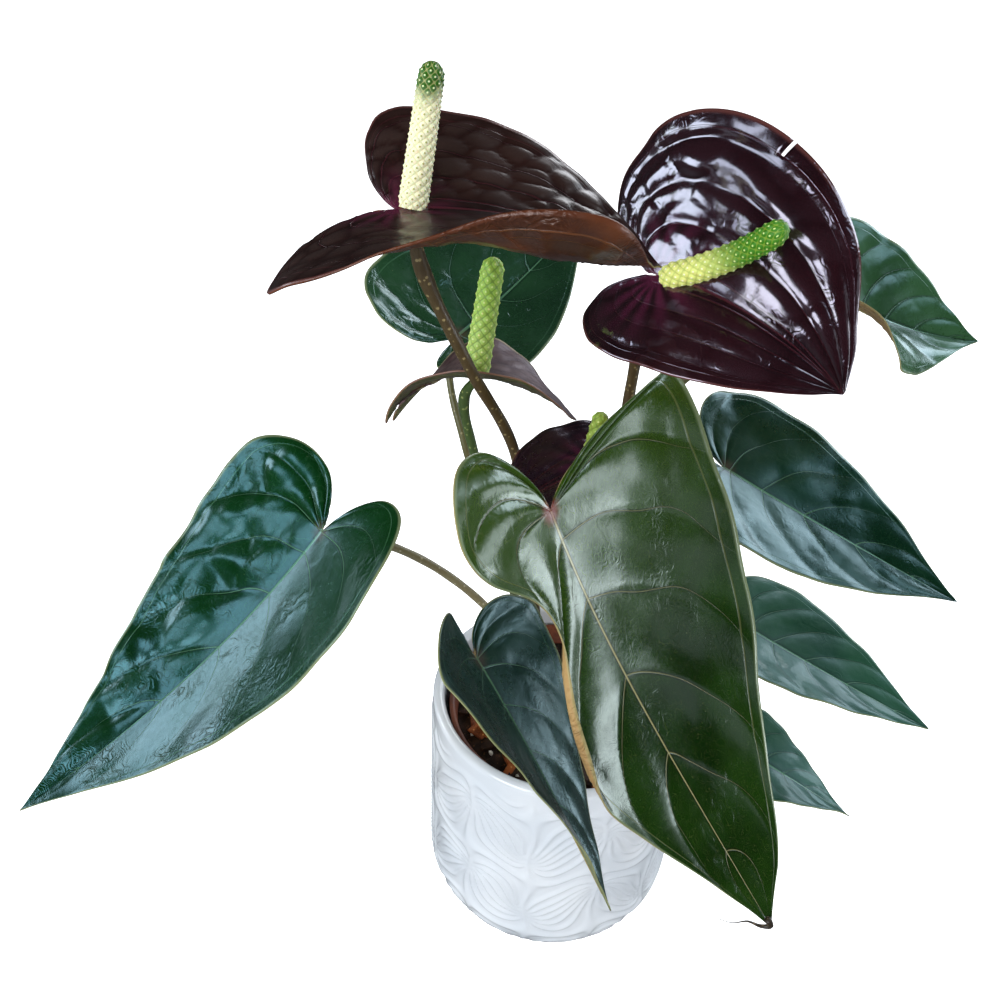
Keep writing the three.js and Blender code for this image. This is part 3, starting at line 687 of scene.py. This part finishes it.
POT_RADIUS, POT_HEIGHT, POT_WALL, POT_FLOOR, POT_ROUND, POT_INNER_ROUND = 62, 138, 5.5, 6, 32, 20
SEAMS = 12
STAR_GAP = 46
RIBS_PER_STAR = 14
RIB_HEIGHT = 0.85
RIB_SHARPNESS = 3.0
SEAM_WIDTH = 0.9
POT_STEPS = 440


def quarter(centre, radius, start, end, count):
    angles = np.radians(np.linspace(start, end, count + 1))
    return np.stack([centre[0] + radius * np.cos(angles), centre[1] + radius * np.sin(angles)], axis=1)


def rib_height(turn, height):
    """Ribs that run in curves from one star point to the next, like the veins of folded leaves."""
    total = np.zeros_like(turn)
    near = np.full_like(turn, 9.0)
    seams = np.zeros_like(turn)
    height = height + 2.2 * np.sin(turn * 9 + height * 0.05)
    turn = turn + 0.02 * np.sin(height * 0.16)
    for seam in range(SEAMS):
        for level in range(-1, 5):
            star_turn = 2 * math.pi * seam / SEAMS + 0.35
            star_height = (level + 0.5 * (seam % 2)) * STAR_GAP - 4
            gap = (turn - star_turn) + 1j * (height - star_height) / POT_RADIUS
            seams = np.maximum(seams, np.exp(-(np.sin(gap.real / 2) * 2 * POT_RADIUS / SEAM_WIDTH) ** 2))
            total += (1 if seam % 2 else -1) * np.angle(np.sin(gap / 2))
            near = np.minimum(near, np.abs(gap) * POT_RADIUS)
    rib = 0.5 + 0.5 * np.cos(total * RIBS_PER_STAR)
    return np.maximum(rib ** RIB_SHARPNESS * np.clip(near / 9, 0.35, 1), 0.7 * seams)


def make_pot(skin):
    lip = POT_WALL / 2
    inner = POT_RADIUS - POT_WALL
    foot = quarter((POT_RADIUS - POT_ROUND, POT_ROUND), POT_ROUND, -90, 0, 46)
    wall = np.stack([np.full(120, POT_RADIUS), np.linspace(POT_ROUND, POT_HEIGHT - lip, 121)[1:]], axis=1)
    rim = quarter((POT_RADIUS - lip, POT_HEIGHT - lip), lip, 0, 180, 12)[1:]
    hollow = quarter((inner - POT_INNER_ROUND, POT_FLOOR + POT_INNER_ROUND), POT_INNER_ROUND, 0, -90, 8)
    profile = np.vstack([[(0, 0)], foot, wall, rim, hollow, [(0, POT_FLOOR)]])
    turn = np.linspace(0, 2 * math.pi, POT_STEPS + 1)
    radius, angle = np.meshgrid(profile[:, 0], turn, indexing="ij")
    height = np.repeat(profile[:, 1:2], POT_STEPS + 1, axis=1)
    outer = np.arange(len(profile)) < len(foot) + len(wall) + 1
    fade = np.clip((height - 6) / 22, 0, 1) * np.clip((POT_HEIGHT - 9 - height) / 5, 0, 1)
    relief = rib_height(angle, height) * fade * outer[:, None] * RIB_HEIGHT
    hand = 0.25 * np.sin(angle * 2 + 1) * np.clip(height / 40, 0, 1) * (radius > 1)
    radius = radius + relief + hand
    points = np.stack([radius * np.cos(angle), radius * np.sin(angle), height], axis=-1) * MM
    pot = grid_piece("pot_glazed", points, inward=True)
    pot.data.materials.append(skin)
    return pot


def turned_piece(name, profile, segments, skin, wobble=None):
    profile = np.asarray(profile, float)
    turn = np.linspace(0, 2 * math.pi, segments + 1)
    radius, angle = np.meshgrid(profile[:, 0], turn, indexing="ij")
    height = np.repeat(profile[:, 1:2], segments + 1, axis=1)
    if wobble:
        radius, height = wobble(radius, angle, height)
    points = np.stack([radius * np.cos(angle), radius * np.sin(angle), height], axis=-1) * MM
    points[:, -1] = points[:, 0]
    piece = grid_piece(name, points, inward=True)
    piece.data.materials.append(skin)
    return piece


# Finishes of the pot, mix and crown: sizes in metres, depth of the relief in millimetres


def glaze():
    material, tree, shader = start_material(
        "white_glaze", Specular_IOR_Level=0.5, Coat_Weight=0.6, Coat_Roughness=0.06)
    mottle = use(tree, MOTTLE, {"Size": 0.04, "Fleck size": 0.009, "Fleck reach": 0.03})
    body = blend(tree, mottle["Clouds"], rgb(203, 208, 213), rgb(215, 218, 221))
    body = tint(tree, body, mottle["Flecks"], 0.25, rgb(190, 185, 175))
    tree.links.new(body, shader["Base Color"])
    tree.links.new(calc(tree, "MULTIPLY_ADD", mottle["Grain"], 0.12, 0.16), shader["Roughness"])
    tree.links.new(bump(tree, mottle["Clouds"], 0.4 * MM), shader["Normal"])
    return material


def grainy(name, dark, light, spot, size, rough, depth, fleck=0.2):
    """Rough natural or moulded surface of two tones with scattered spots."""
    material, tree, shader = start_material(name)
    mottle = use(tree, MOTTLE, {"Size": size, "Fleck size": size * 0.4, "Fleck reach": fleck})
    share = calc(tree, "MULTIPLY_ADD", mottle["Grain"], 0.8, times(tree, mottle["Clouds"], 0.5))
    body = blend(tree, step(tree, share, 0.3, 0.95), dark, light)
    body = blend(tree, mottle["Flecks"], body, spot)
    tree.links.new(body, shader["Base Color"])
    tree.links.new(calc(tree, "MULTIPLY_ADD", mottle["Grain"], 0.2, rough - 0.1), shader["Roughness"])
    tree.links.new(bump(tree, share, depth * MM), shader["Normal"])
    return material


MIX_TOP, MIX_RADIUS = 119, 50.6
MIX_FOOT, MIX_FOOT_RADIUS = 7.8, 33.0


def mix_height(x, y):
    return MIX_TOP + 1.6 * (np.sin(x * 0.23 + 1) * np.cos(y * 0.19) + 0.4 * np.sin(x * 0.5 - y * 0.41))


def make_mix(skin):
    def uneven(radius, angle, height):
        x, y = radius * np.cos(angle), radius * np.sin(angle)
        top = (height > MIX_TOP - 1)
        inside = np.clip((50 - radius) / 4, 0, 1)
        crumbs = 1.2 * np.clip(cells(x, y, 3.4, 3)[1], 0, 0.8)
        return radius, np.where(top, MIX_TOP + (mix_height(x, y) - MIX_TOP + crumbs) * inside, height)
    rings = [(MIX_RADIUS * share, MIX_TOP) for share in np.linspace(1, 0, 44)]
    return turned_piece("bark_mix", [(0, MIX_FOOT), (MIX_FOOT_RADIUS, MIX_FOOT)] + rings, 160, skin, uneven)


def scatter(name, count, sizes, skin, seed, lift, outer=46.0, round_shape=False):
    """Chips lying on the mix in one mesh."""
    draw = random.Random(seed)
    bm = bmesh.new()
    for _ in range(count):
        radius = outer * math.sqrt(draw.uniform(0.02, 1))
        turn = draw.uniform(0, 2 * math.pi)
        x, y = radius * math.cos(turn), radius * math.sin(turn)
        size = [draw.uniform(*pair) for pair in sizes]
        tilt = Matrix.Rotation(draw.uniform(0, 6.28), 4, "Z") @ Matrix.Rotation(
            draw.gauss(0, 0.35), 4, "X") @ Matrix.Rotation(draw.gauss(0, 0.3), 4, "Y")
        place = Matrix.Translation((x, y, float(mix_height(x, y)) + lift)) @ tilt
        place = place @ Matrix.Diagonal((*size, 1))
        if round_shape:
            made = bmesh.ops.create_icosphere(bm, subdivisions=2, radius=0.5)["verts"]
        else:
            made = bmesh.ops.create_cube(bm, size=1)["verts"]
            edges = {edge for vert in made for edge in vert.link_edges}
            made = bmesh.ops.bevel(
                bm, geom=list(edges), affect="EDGES", offset=0.12, segments=1, profile=0.5,
                material=-1)["verts"]
        for vert in made:
            shake = Vector((draw.uniform(-1, 1), draw.uniform(-1, 1), draw.uniform(-1, 1))) * 0.07
            vert.co = place @ (vert.co + shake) * MM
    mesh = bpy.data.meshes.new(name)
    bm.to_mesh(mesh)
    bm.free()
    mesh.materials.append(skin)
    return finish_piece(name, mesh)


# The plant

GREEN_VEIN = rgb(84, 128, 92)
TAN_UNDER = rgb(140, 106, 58), rgb(170, 134, 80)
# Lengths in millimetres and angles in degrees. Pairs hold the left half and then the right half of
# a blade, seen from above with its tip ahead. notch is the place of the notch, turn the heading, droop
# and roll, bend the bend ahead of the notch, that of the lobes and the twist. rim curls the margin,
# rim_place says where: the share out from the midrib, the share along, and its spread. quilt holds
# the height of the skin between veins, of blisters and of waves, and calm scales them. stalk is
# its radius and route.
LEAF = dict(
    form=LEAF_FORM, thickness=0.5, grid=(96, 26), veins=8.0, arch=1.1, vein_width=0.36, midrib=0.85,
    vein_show=0.5, midrib_show=0.7, cell=3.0, wrinkle=0.1, lengthwise=0.0, blister_size=7.0,
    quilt=(0.7, 0.1, 0.5), frill=0.8, flush=rgb(120, 70, 60), flush_reach=7.0, flush_show=0.22,
    under=(rgb(88, 98, 52), rgb(126, 126, 76)),
    rim=(0, 0), dark=rgb(8, 38, 14), light=rgb(16, 56, 24), vein=GREEN_VEIN, rough=0.26, gloss=0.08,
    calm=(1, 1), puff_highlight_share=0, crease_shade=rgb(3, 18, 6), sheen=(0.48, 0.9, 1.0, 1.0), shine=0.65)
SPATHE = dict(
    form=SPATHE_FORM, thickness=0.6, grid=(110, 30), veins=4.0, arch=0.0, vein_width=0.35, midrib=0.8,
    vein_show=0.35, midrib_show=0.5, cell=4.0, wrinkle=0.12, lengthwise=1.0, blister_size=9.0,
    quilt=(0.6, 0.55, 0.5), frill=0.6, flush=rgb(120, 40, 78), flush_reach=22.0, flush_show=0.35,
    rim=(0, 0), dark=rgb(22, 6, 10), light=rgb(38, 10, 16), vein=rgb(84, 30, 40), rough=0.2, gloss=0.7,
    calm=(1, 1), puff_highlight_share=0.5, puff_highlight_tone=rgb(44, 22, 28), crease_shade=rgb(14, 4, 6),
    sheen=(0.9, 0.78, 1.0, 1.0), shine=0.7, edge=rgb(120, 70, 64))

LEAVES = {
    "leaf_left": dict(
        notch=(-106, -20, 240), turn=(-148, 48, -7), length=166, half_width=(61, 58), lobe=(30, 19),
        fold=(11, 9), cup=(16, 5), bend=(-27, 16, -7), grid=(150, 46), quilt=(1.4, 0.5, 1.1),
        wrinkle=0.2, cell=5.0, blister_size=17.0, calm=(0.12, 1), rough=0.2, vein_show=0.6,
        sheen=(0.3, 0.8, 0.98, 1.0), shine=0.6, dark=rgb(3, 34, 5), light=rgb(8, 50, 12),
        stalk=(1.8, [(-11, -1, 120), (-30, -5, 180), (-62, -8, 216), (-92, -13, 233)])),
    "leaf_front": dict(
        notch=(-17, -83, 306), turn=(-10, 68, 23), length=175, half_width=(88, 55), lobe=(6, 34),
        fold=(-7, 4), cup=(9, 12), rim=(0, 150), rim_place=(0.72, 0.4, 0.16),
        waist=(0.67, 0.17, 0.2), bend=(-31, 24, 26), sway=-15, grid=(140, 44),
        quilt=(1.1, 0.0, 0.25), midrib=0.6, vein_show=0.4, midrib_show=0.9, vein_width=0.3, wrinkle=0.08,
        tip_full=(6.5, 1.0), vein=rgb(150, 142, 96), dark=rgb(8, 33, 1), light=rgb(26, 58, 3),
        lobe_tone=rgb(56, 84, 12), under=TAN_UNDER, rough=0.17, gloss=0.2,
        crease_shade=rgb(20, 22, 4), sheen=(0.76, 0.96, 0.88, 1.0),
        flush=rgb(130, 40, 50), flush_show=0.7,
        stalk=(2.0, [(4, -13, 120), (12, -24, 175), (9, -44, 240), (-8, -71, 291)])),
    "leaf_small_front": dict(
        notch=(-39, -64, 219), turn=(-38, 44, -19), length=112, half_width=(40, 42), lobe=(18, 27),
        fold=(13, 24), cup=(3, -6), bend=(7, -29, -23), quilt=(0.45, 0.1, 0.4),
        dark=rgb(5, 30, 20), light=rgb(11, 44, 32), rough=0.24,
        stalk=(1.5, [(-7, -12, 120), (-16, -24, 150), (-31, -43, 190), (-41, -60, 211)])),
    "leaf_right_upper": dict(
        notch=(59, 24, 255), turn=(-15, 23, 13), length=114, half_width=(43, 40), lobe=(25, 28),
        fold=(11, 9), cup=(-4, 7), bend=(-4, -36, 19), dark=rgb(4, 32, 13), light=rgb(9, 47, 24),
        stalk=(1.6, [(12, 5, 120), (22, 8, 165), (37, 15, 212), (53, 22, 244)])),
    "leaf_right_middle": dict(
        notch=(78, 1, 186), turn=(-31, 9, -3), length=85, half_width=(33, 31), lobe=(20, 22),
        fold=(9, 10), cup=(2, 4), bend=(-4, 9, 10), dark=rgb(20, 56, 38), light=rgb(38, 80, 54),
        rough=0.4, gloss=0.2,
        stalk=(1.4, [(14, -2, 120), (26, -2, 143), (48, -1, 166), (70, 0, 180)])),
    "leaf_right_low": dict(
        notch=(78, -44, 155), turn=(-21, 18, 8), length=50, half_width=(21, 20), lobe=(12, 12),
        fold=(7, 5), cup=(7, 0), bend=(2, 5, -30), grid=(60, 16), quilt=(0.35, 0.1, 0.3),
        dark=rgb(20, 56, 38), light=rgb(38, 80, 54), rough=0.4, gloss=0.2,
        stalk=(1.3, [(13, -10, 120), (24, -15, 138), (45, -27, 152), (70, -41, 155)])),
    "leaf_back_right": dict(
        notch=(94, 36, 331), turn=(26, 34, 32), length=74, half_width=(36, 37), lobe=(17, 17),
        fold=(13, 31), cup=(7, -6), rim=(0, -50), rim_place=(0.45, 0.35, 0.4), bend=(-33, 0, 30),
        dark=rgb(26, 58, 26), light=rgb(56, 96, 56), rough=0.22, under=TAN_UNDER,
        stalk=(1.5, [(8, 11, 120), (14, 20, 200), (28, 30, 280), (80, 36, 325)])),
    "leaf_back_left": dict(
        notch=(-59, 62, 290), turn=(57, -10, 15), length=98, half_width=(51, 37), lobe=(28, 33),
        fold=(10, 10), cup=(2, 7), bend=(-19, -28, 1), dark=rgb(18, 45, 24), light=rgb(32, 66, 36),
        quilt=(0.9, 0.5, 0.7), wrinkle=0.4, gloss=0.15, calm=(1, 0.3),
        stalk=(1.6, [(-6, 12, 120), (-28, 22, 180), (-53, 35, 250), (-62, 52, 280)])),
}
FLOWERS = {
    "flower_left": dict(
        notch=(-68, -53, 388), turn=(8, -4, 5), length=84, half_width=(42, 46), lobe=(5, 37),
        fold=(14, 6), cup=(9, 4), rim=(0, 79), rim_place=(0.3, 0.45, 0.42), waist=(-0.84, 0.61, 0.3),
        bend=(33, 37, -4), rough=0.3, gloss=0.12, shine=0.5, dark=rgb(26, 10, 9), light=rgb(44, 20, 14),
        quilt=(0.3, 0.9, 0.7), blister_size=7.5, puff_highlight_share=0.55, puff_highlight_tone=rgb(58, 44, 40), calm=(1, 0.6),
        sheen=(1.0, 0.86, 0.78, 1.0),
        spadix=((-59, -40, 426), 4.3, 16, 28, 0),
        stalk=(2.1, [(-9, -8, 120), (-19, -10, 210), (-30, -15, 281), (-47, -35, 328), (-62, -49, 371)])),
    "flower_right": dict(
        notch=(14, -18, 358), turn=(-55, -16, 36), length=77, half_width=(52, 31), lobe=(31, 27),
        fold=(30, -8), cup=(12, 2), bend=(78, 5, 1), grid=(150, 40), rough=0.13, gloss=0.8, shine=1.0,
        sheen=(0.86, 0.8, 1.0, 1.0), quilt=(1.4, 0.5, 0.8), blister_size=12.0, calm=(1, 0.5),
        slit=(0.6066, 0.6133, 0.955),
        rim=(-45, 0), rim_place=(-0.1, 0.8, 0.5), wrinkle=0.3, cell=3.5, flush_reach=30.0, flush_show=0.4,
        spadix=((43, -55, 391), 4.5, 16, 28, 2.5),
        stalk=(2.2, [(7, -5, 120), (11, 2, 220), (12, 1, 305), (13, -12, 345)])),
    "flower_young": dict(
        notch=(-51, -8, 310), turn=(1, -5, -1), length=48, half_width=(46, 20), lobe=(40, 38),
        lobe_narrow=(0.7, 0.75),
        fold=(-27, 15), cup=(33, 33), rim=(0, 9), rim_place=(0.45, 0.3, 0.8), bend=(52, 66, 7),
        grid=(70, 20), quilt=(0.4, 0.6, 0.4), rough=0.5, gloss=0.1, dark=rgb(46, 26, 22),
        puff_highlight_tone=rgb(104, 84, 78), blister_size=8.0, edge=rgb(176, 164, 116),
        light=rgb(84, 56, 50), vein=rgb(120, 84, 76), flush_show=0.1,
        spadix=((-42, 3, 352), 4.9, 14, 22, 0),
        stalk=(1.9, [(-12, 5, 120), (-27, 8, 190), (-46, 6, 262), (-51, -3, 297)])),
    "flower_hidden": dict(
        notch=(1, -23, 284), turn=(-146, 5, 3), length=43, half_width=(24, 25), lobe=(19, 19),
        fold=(8, 9), cup=(5, 3), bend=(14, 2, -3), grid=(60, 18), quilt=(0.6, 0.4, 0.4),
        dark=rgb(14, 6, 12), light=rgb(24, 9, 20),
        spadix=((0, -27, 309), 3.5, 10, 12, 0),
        stalk=(1.8, [(0, -12, 120), (-2, -10, 180), (1, -14, 240), (2, -20, 272)])),
}
DRIED_TIP_ROUTE = [(-1.5, 0.3, 3.7), (0, 0, 0.3), (-3.2, 0.5, -1), (-8, 1, 0.5), (-13, 1, -1.2), (-18, 2, -1)]
LEAF_SEAT = 3
FLOWER_SEAT = 4.5


def build_leaf(name, own, seed, stalk_skin, rib_skin):
    blade = {**LEAF, **own}
    blade.setdefault("lobe_tone", blade["light"])
    blade["skins"] = [
        blade_material(
            f"{name}_upper", blade, blade["dark"], blade["light"], blade["vein"],
            rgb(150, 160, 120), blade["rough"], blade["gloss"]),
        blade_material(
            f"{name}_under", {**blade, "vein_show": 0.7}, *blade["under"], rgb(178, 160, 110),
            rgb(150, 150, 100), 0.5, 0.05, under=True)]
    stand_for(make_blade(f"{name}_blade", blade, seed), name)
    stand_for(make_stalk(f"{name}_petiole", blade, LEAF_SEAT, stalk_skin), f"{name}_stalk")
    rib = make_under_rib(f"{name}_midrib", blade, rib_skin)
    stand_for(rib)


def build_dried_tip():
    """Brown shrivelled end of the front leaf with a loose thread."""
    blade = {**LEAF, **LEAVES["leaf_front"]}
    tip = blade_point(blade, blade["length"])
    line = spaced_curve([tip + np.array(p) for p in DRIED_TIP_ROUTE], 40)
    radii = 1.3 * (1 - np.linspace(0, 1, 41)) ** 2.2 + 0.12
    dried = make_tube("leaf_front_dried_tip", line, radii, 8, stalk_material(
        "dried_tip", rgb(34, 26, 14), rgb(40, 30, 16), rgb(120, 104, 80)))
    stand_for(dried)


def build_flower(name, own, seed, stalk_skin, spadix_skin, under):
    blade = {**SPATHE, **own}
    blade.setdefault("lobe_tone", blade["dark"])
    blade["skins"] = [
        blade_material(
            f"{name}_upper", blade, blade["dark"], blade["light"], blade["vein"],
            blade["edge"], blade["rough"], blade["gloss"]),
        blade_material(f"{name}_under", blade, *under, 0.35, 0.2, under=True)]
    stand_for(make_blade(f"{name}_bract", blade, seed), f"{name}_spathe")
    stand_for(make_stalk(f"{name}_peduncle", blade, FLOWER_SEAT, stalk_skin), f"{name}_stalk")
    spike = make_spadix(f"{name}_spike", blade, blade["spadix"], spadix_skin, FLOWER_SEAT)
    stand_for(spike, f"{name}_spadix")


def build_plant():
    petiole = stalk_material("petiole", rgb(74, 54, 28), rgb(84, 84, 44), rgb(150, 140, 100))
    peduncle = stalk_material("peduncle", rgb(58, 46, 20), rgb(64, 48, 22), rgb(150, 132, 86))
    green = stalk_material("young_peduncle", rgb(56, 62, 24), rgb(48, 74, 28), rgb(140, 150, 84))
    rib = stalk_material("under_rib", rgb(150, 136, 84), rgb(158, 144, 90), rgb(186, 172, 120))
    pale = stalk_material("pale_petiole", rgb(110, 92, 54), rgb(140, 138, 104), rgb(190, 184, 150))
    for seed, (name, own) in enumerate(LEAVES.items()):
        build_leaf(name, own, seed + 1, pale if name == "leaf_left" else petiole, rib)
    brown_under = (rgb(52, 22, 8), rgb(110, 54, 12), rgb(170, 104, 48), rgb(96, 50, 30))
    green_under = (rgb(60, 66, 22), rgb(110, 116, 48), rgb(150, 140, 80), rgb(150, 100, 90))
    spikes = {
        "flower_left": spadix_material(
            "cream_spadix", rgb(240, 236, 196), rgb(44, 96, 4), (0.66, 0.86), rgb(170, 168, 96),
            rgb(214, 226, 170), rgb(190, 186, 120)),
        "flower_right": spadix_material(
            "green_tipped_spadix", rgb(222, 226, 126), rgb(58, 124, 10), (0.22, 0.72), rgb(248, 248, 206),
            rgb(196, 218, 130), rgb(150, 170, 56)),
        "flower_young": spadix_material(
            "lime_spadix", rgb(166, 194, 92), rgb(150, 186, 70), (0.2, 0.8), rgb(206, 220, 140),
            rgb(200, 218, 130), rgb(70, 104, 30)),
        "flower_hidden": spadix_material(
            "small_spadix", rgb(150, 170, 70), rgb(136, 160, 60), (0.2, 0.8), rgb(190, 204, 120),
            rgb(190, 204, 120), rgb(80, 96, 30)),
    }
    for seed, (name, own) in enumerate(FLOWERS.items()):
        young = name == "flower_young"
        build_flower(
            name, own, seed + 21, green if young else peduncle, spikes[name],
            green_under if young else brown_under)


# Pointed sheaths round the growing tip
SHEATHS = [
    [(2, -2, 121), (4, -3.5, 131), (4.6, -4, 141), (4, -3, 151)],
    [(-4, 1, 121), (-5.6, 1.6, 129), (-6, 2, 137), (-5, 2, 144)],
    [(0, 4.5, 121), (0.5, 6, 129), (1, 6.4, 136), (1, 5.6, 142)]]


def crown_shape(radius, angle, height):
    ring = 0.5 * np.sin(height * 1.9) + 0.5 * np.sin(angle * 5 + height * 0.7)
    return np.where(radius > 0.5, radius + ring * 0.5, radius), height


def build_pot_and_mix():
    stand_for(make_pot(glaze()), "pot")
    brown = grainy(
        "nursery_plastic", rgb(92, 44, 24), rgb(128, 66, 38), rgb(150, 96, 64), 0.02, 0.5, 0.1, 0.03)
    base, top, wall = 6.3, 129, 1.2
    nursery = [
        (0, base), (34, base), (52.6, top - 3), (53.6, top - 2.6), (54.3, top - 2.0), (54.4, top - 0.5),
        (54.0, top), (52.4, top), (51.8, top - 0.5), (32.8, base + wall), (0, base + wall)]
    stand_for(turned_piece("nursery_pot_moulded", nursery, 120, brown), "nursery_pot")
    dark = grainy("dark_bark", rgb(24, 15, 10), rgb(62, 40, 26), rgb(96, 66, 40), 0.006, 0.85, 0.6)
    orange = grainy("orange_bark", rgb(92, 42, 16), rgb(170, 92, 40), rgb(196, 130, 70), 0.007, 0.8, 0.5)
    pale = grainy("perlite", rgb(196, 190, 176), rgb(226, 222, 210), rgb(160, 150, 130), 0.003, 0.9, 0.3)
    stand_for(make_mix(dark), "potting_mix")
    # Least and greatest length, width and thickness of dark chips, orange chips and perlite
    chips = [
        ((6, 13), (3, 7), (1.5, 4)), ((4, 9), (3, 6), (1.5, 3.5)), ((1.6, 3.2), (1.6, 3.2), (1.4, 2.6))]
    for piece in (
            scatter("dark_chips", 150, chips[0], dark, 5, 1.3),
            scatter("orange_chips", 60, chips[1], orange, 8, 1.9),
            scatter("perlite_grains", 36, chips[2], pale, 11, 1.6, round_shape=True)):
        stand_for(piece)
    husk = grainy("crown_husk", rgb(60, 44, 24), rgb(110, 88, 52), rgb(140, 116, 76), 0.006, 0.75, 0.6)
    heights = np.linspace(108, 130, 23)
    sides = [(6.0 + 0.5 * math.cos(h * 1.3) - max(0, h - 124) * 0.35, h) for h in heights]
    crown = [(0, 107.5)] + sides + [(2.2, 131.3), (0, 131.8)]
    stand_for(turned_piece("crown_stem", crown, 36, husk, crown_shape), "crown")
    fresh = stalk_material("fresh_sheath", rgb(120, 128, 28), rgb(170, 180, 50), rgb(96, 70, 34))
    papery = stalk_material("papery_sheath", rgb(104, 78, 44), rgb(132, 106, 66), rgb(70, 48, 26))
    for number, route in enumerate(SHEATHS):
        swelling = 3.0 * np.sin(np.linspace(0.5, math.pi, 31)) ** 0.8 + 0.15
        sheath = make_tube(
            f"crown_sheath_{number + 1}", spaced_curve(route, 30), swelling, 12, papery if number else fresh)
        stand_for(sheath)


build_plant()
build_dried_tip()
build_pot_and_mix()

# Floor and light


def make_floor():
    bm = bmesh.new()
    bmesh.ops.create_grid(bm, x_segments=1, y_segments=1, size=6)
    mesh = bpy.data.meshes.new("floor")
    bm.to_mesh(mesh)
    bm.free()
    material, tree, shader = start_material("pale_floor", Roughness=0.7)
    mottle = use(tree, MOTTLE, {"Size": 0.5})
    body = blend(tree, mottle["Clouds"], (0.86, 0.86, 0.86, 1), (0.9, 0.9, 0.9, 1))
    path = add(tree, "ShaderNodeLightPath").outputs
    body = tint(tree, body, path["Is Glossy Ray"], 0.96, (0.02, 0.02, 0.02, 1))
    tree.links.new(body, shader["Base Color"])
    shader["Emission Color"].default_value = (1, 1, 1, 1)
    tree.links.new(path["Is Camera Ray"], shader["Emission Strength"])
    mesh.materials.append(material)
    finish_piece("floor", mesh)


# The sky's colour, its strength as light, how much less of it is mirrored, how much more is seen
SKY = (0.93, 0.96, 1.0, 1.0)
SKY_LIGHT, SKY_NOT_MIRRORED, SKY_SEEN = 0.5, -0.48, 2.0
PLANT_MIDDLE = Vector((0, 0, 0.25))
COOL = (0.8, 0.9, 1.0)
PALE = (0.9, 0.94, 1.0)
WHITE = (1.0, 1.0, 1.0)
# Each with its turn from the back towards the right and its height over the plant in degrees, how far
# it is, its size, its power and its colour
WINDOWS = [
    ("left_window", -78, 10, 1.3, (0.42, 0.36), 3.5, COOL),
    ("left_side_window", -111, 26, 1.3, (0.45, 0.4), 3.2, COOL),
    ("left_front_window", -146, 17, 1.3, (0.6, 0.5), 8.5, PALE),
    ("back_window", 20, 27, 1.3, (0.45, 0.4), 3.6, PALE),
    ("right_window", 53, 20, 1.3, (0.7, 0.55), 7.5, COOL),
    ("right_back_window", 79, 1, 1.0, (0.22, 0.2), 0.55, PALE),
    ("right_low_window", 92, -10, 0.8, (0.34, 0.15), 1.3, PALE),
    ("right_side_window", 99, 12, 1.0, (0.3, 0.25), 0.12, PALE),
    ("right_upper_window", 92, 42, 1.3, (0.4, 0.4), 2.0, COOL)]


def area_light(name, place, aim, size, power, color):
    data = bpy.data.lights.new(name, "AREA")
    data.shape = "RECTANGLE"
    data.size, data.size_y = size
    data.energy = power
    data.color = color
    light = bpy.data.objects.new(name, data)
    light.location = place
    light.rotation_euler = (Vector(aim) - Vector(place)).to_track_quat("-Z", "Y").to_euler()
    light.visible_camera = False
    bpy.context.scene.collection.objects.link(light)
    return light


def make_light():
    world = bpy.data.worlds.new("studio")
    world.use_nodes = True
    tree = world.node_tree
    path = add(tree, "ShaderNodeLightPath").outputs
    seen = calc(tree, "MULTIPLY_ADD", path["Is Camera Ray"], SKY_SEEN, SKY_LIGHT)
    mirrored = times(tree, path["Is Glossy Ray"], SKY_NOT_MIRRORED)
    backdrop = tree.nodes["Background"].inputs
    backdrop["Color"].default_value = SKY
    tree.links.new(calc(tree, "ADD", seen, mirrored), backdrop["Strength"])
    bpy.context.scene.world = world
    for name, turn, climb, away, size, power, color in WINDOWS:
        turn, climb = math.radians(turn), math.radians(climb)
        toward = Vector((
            math.sin(turn) * math.cos(climb), math.cos(turn) * math.cos(climb), math.sin(climb)))
        area_light(name, PLANT_MIDDLE + toward * away, PLANT_MIDDLE, size, power, color)
    area_light("front_fill", (-0.3, -1.3, 1.3), (0, 0, 0.15), (0.9, 0.7), 8.5, WHITE).visible_glossy = False
    bpy.context.scene.view_settings.view_transform = "Standard"


make_floor()
make_light()
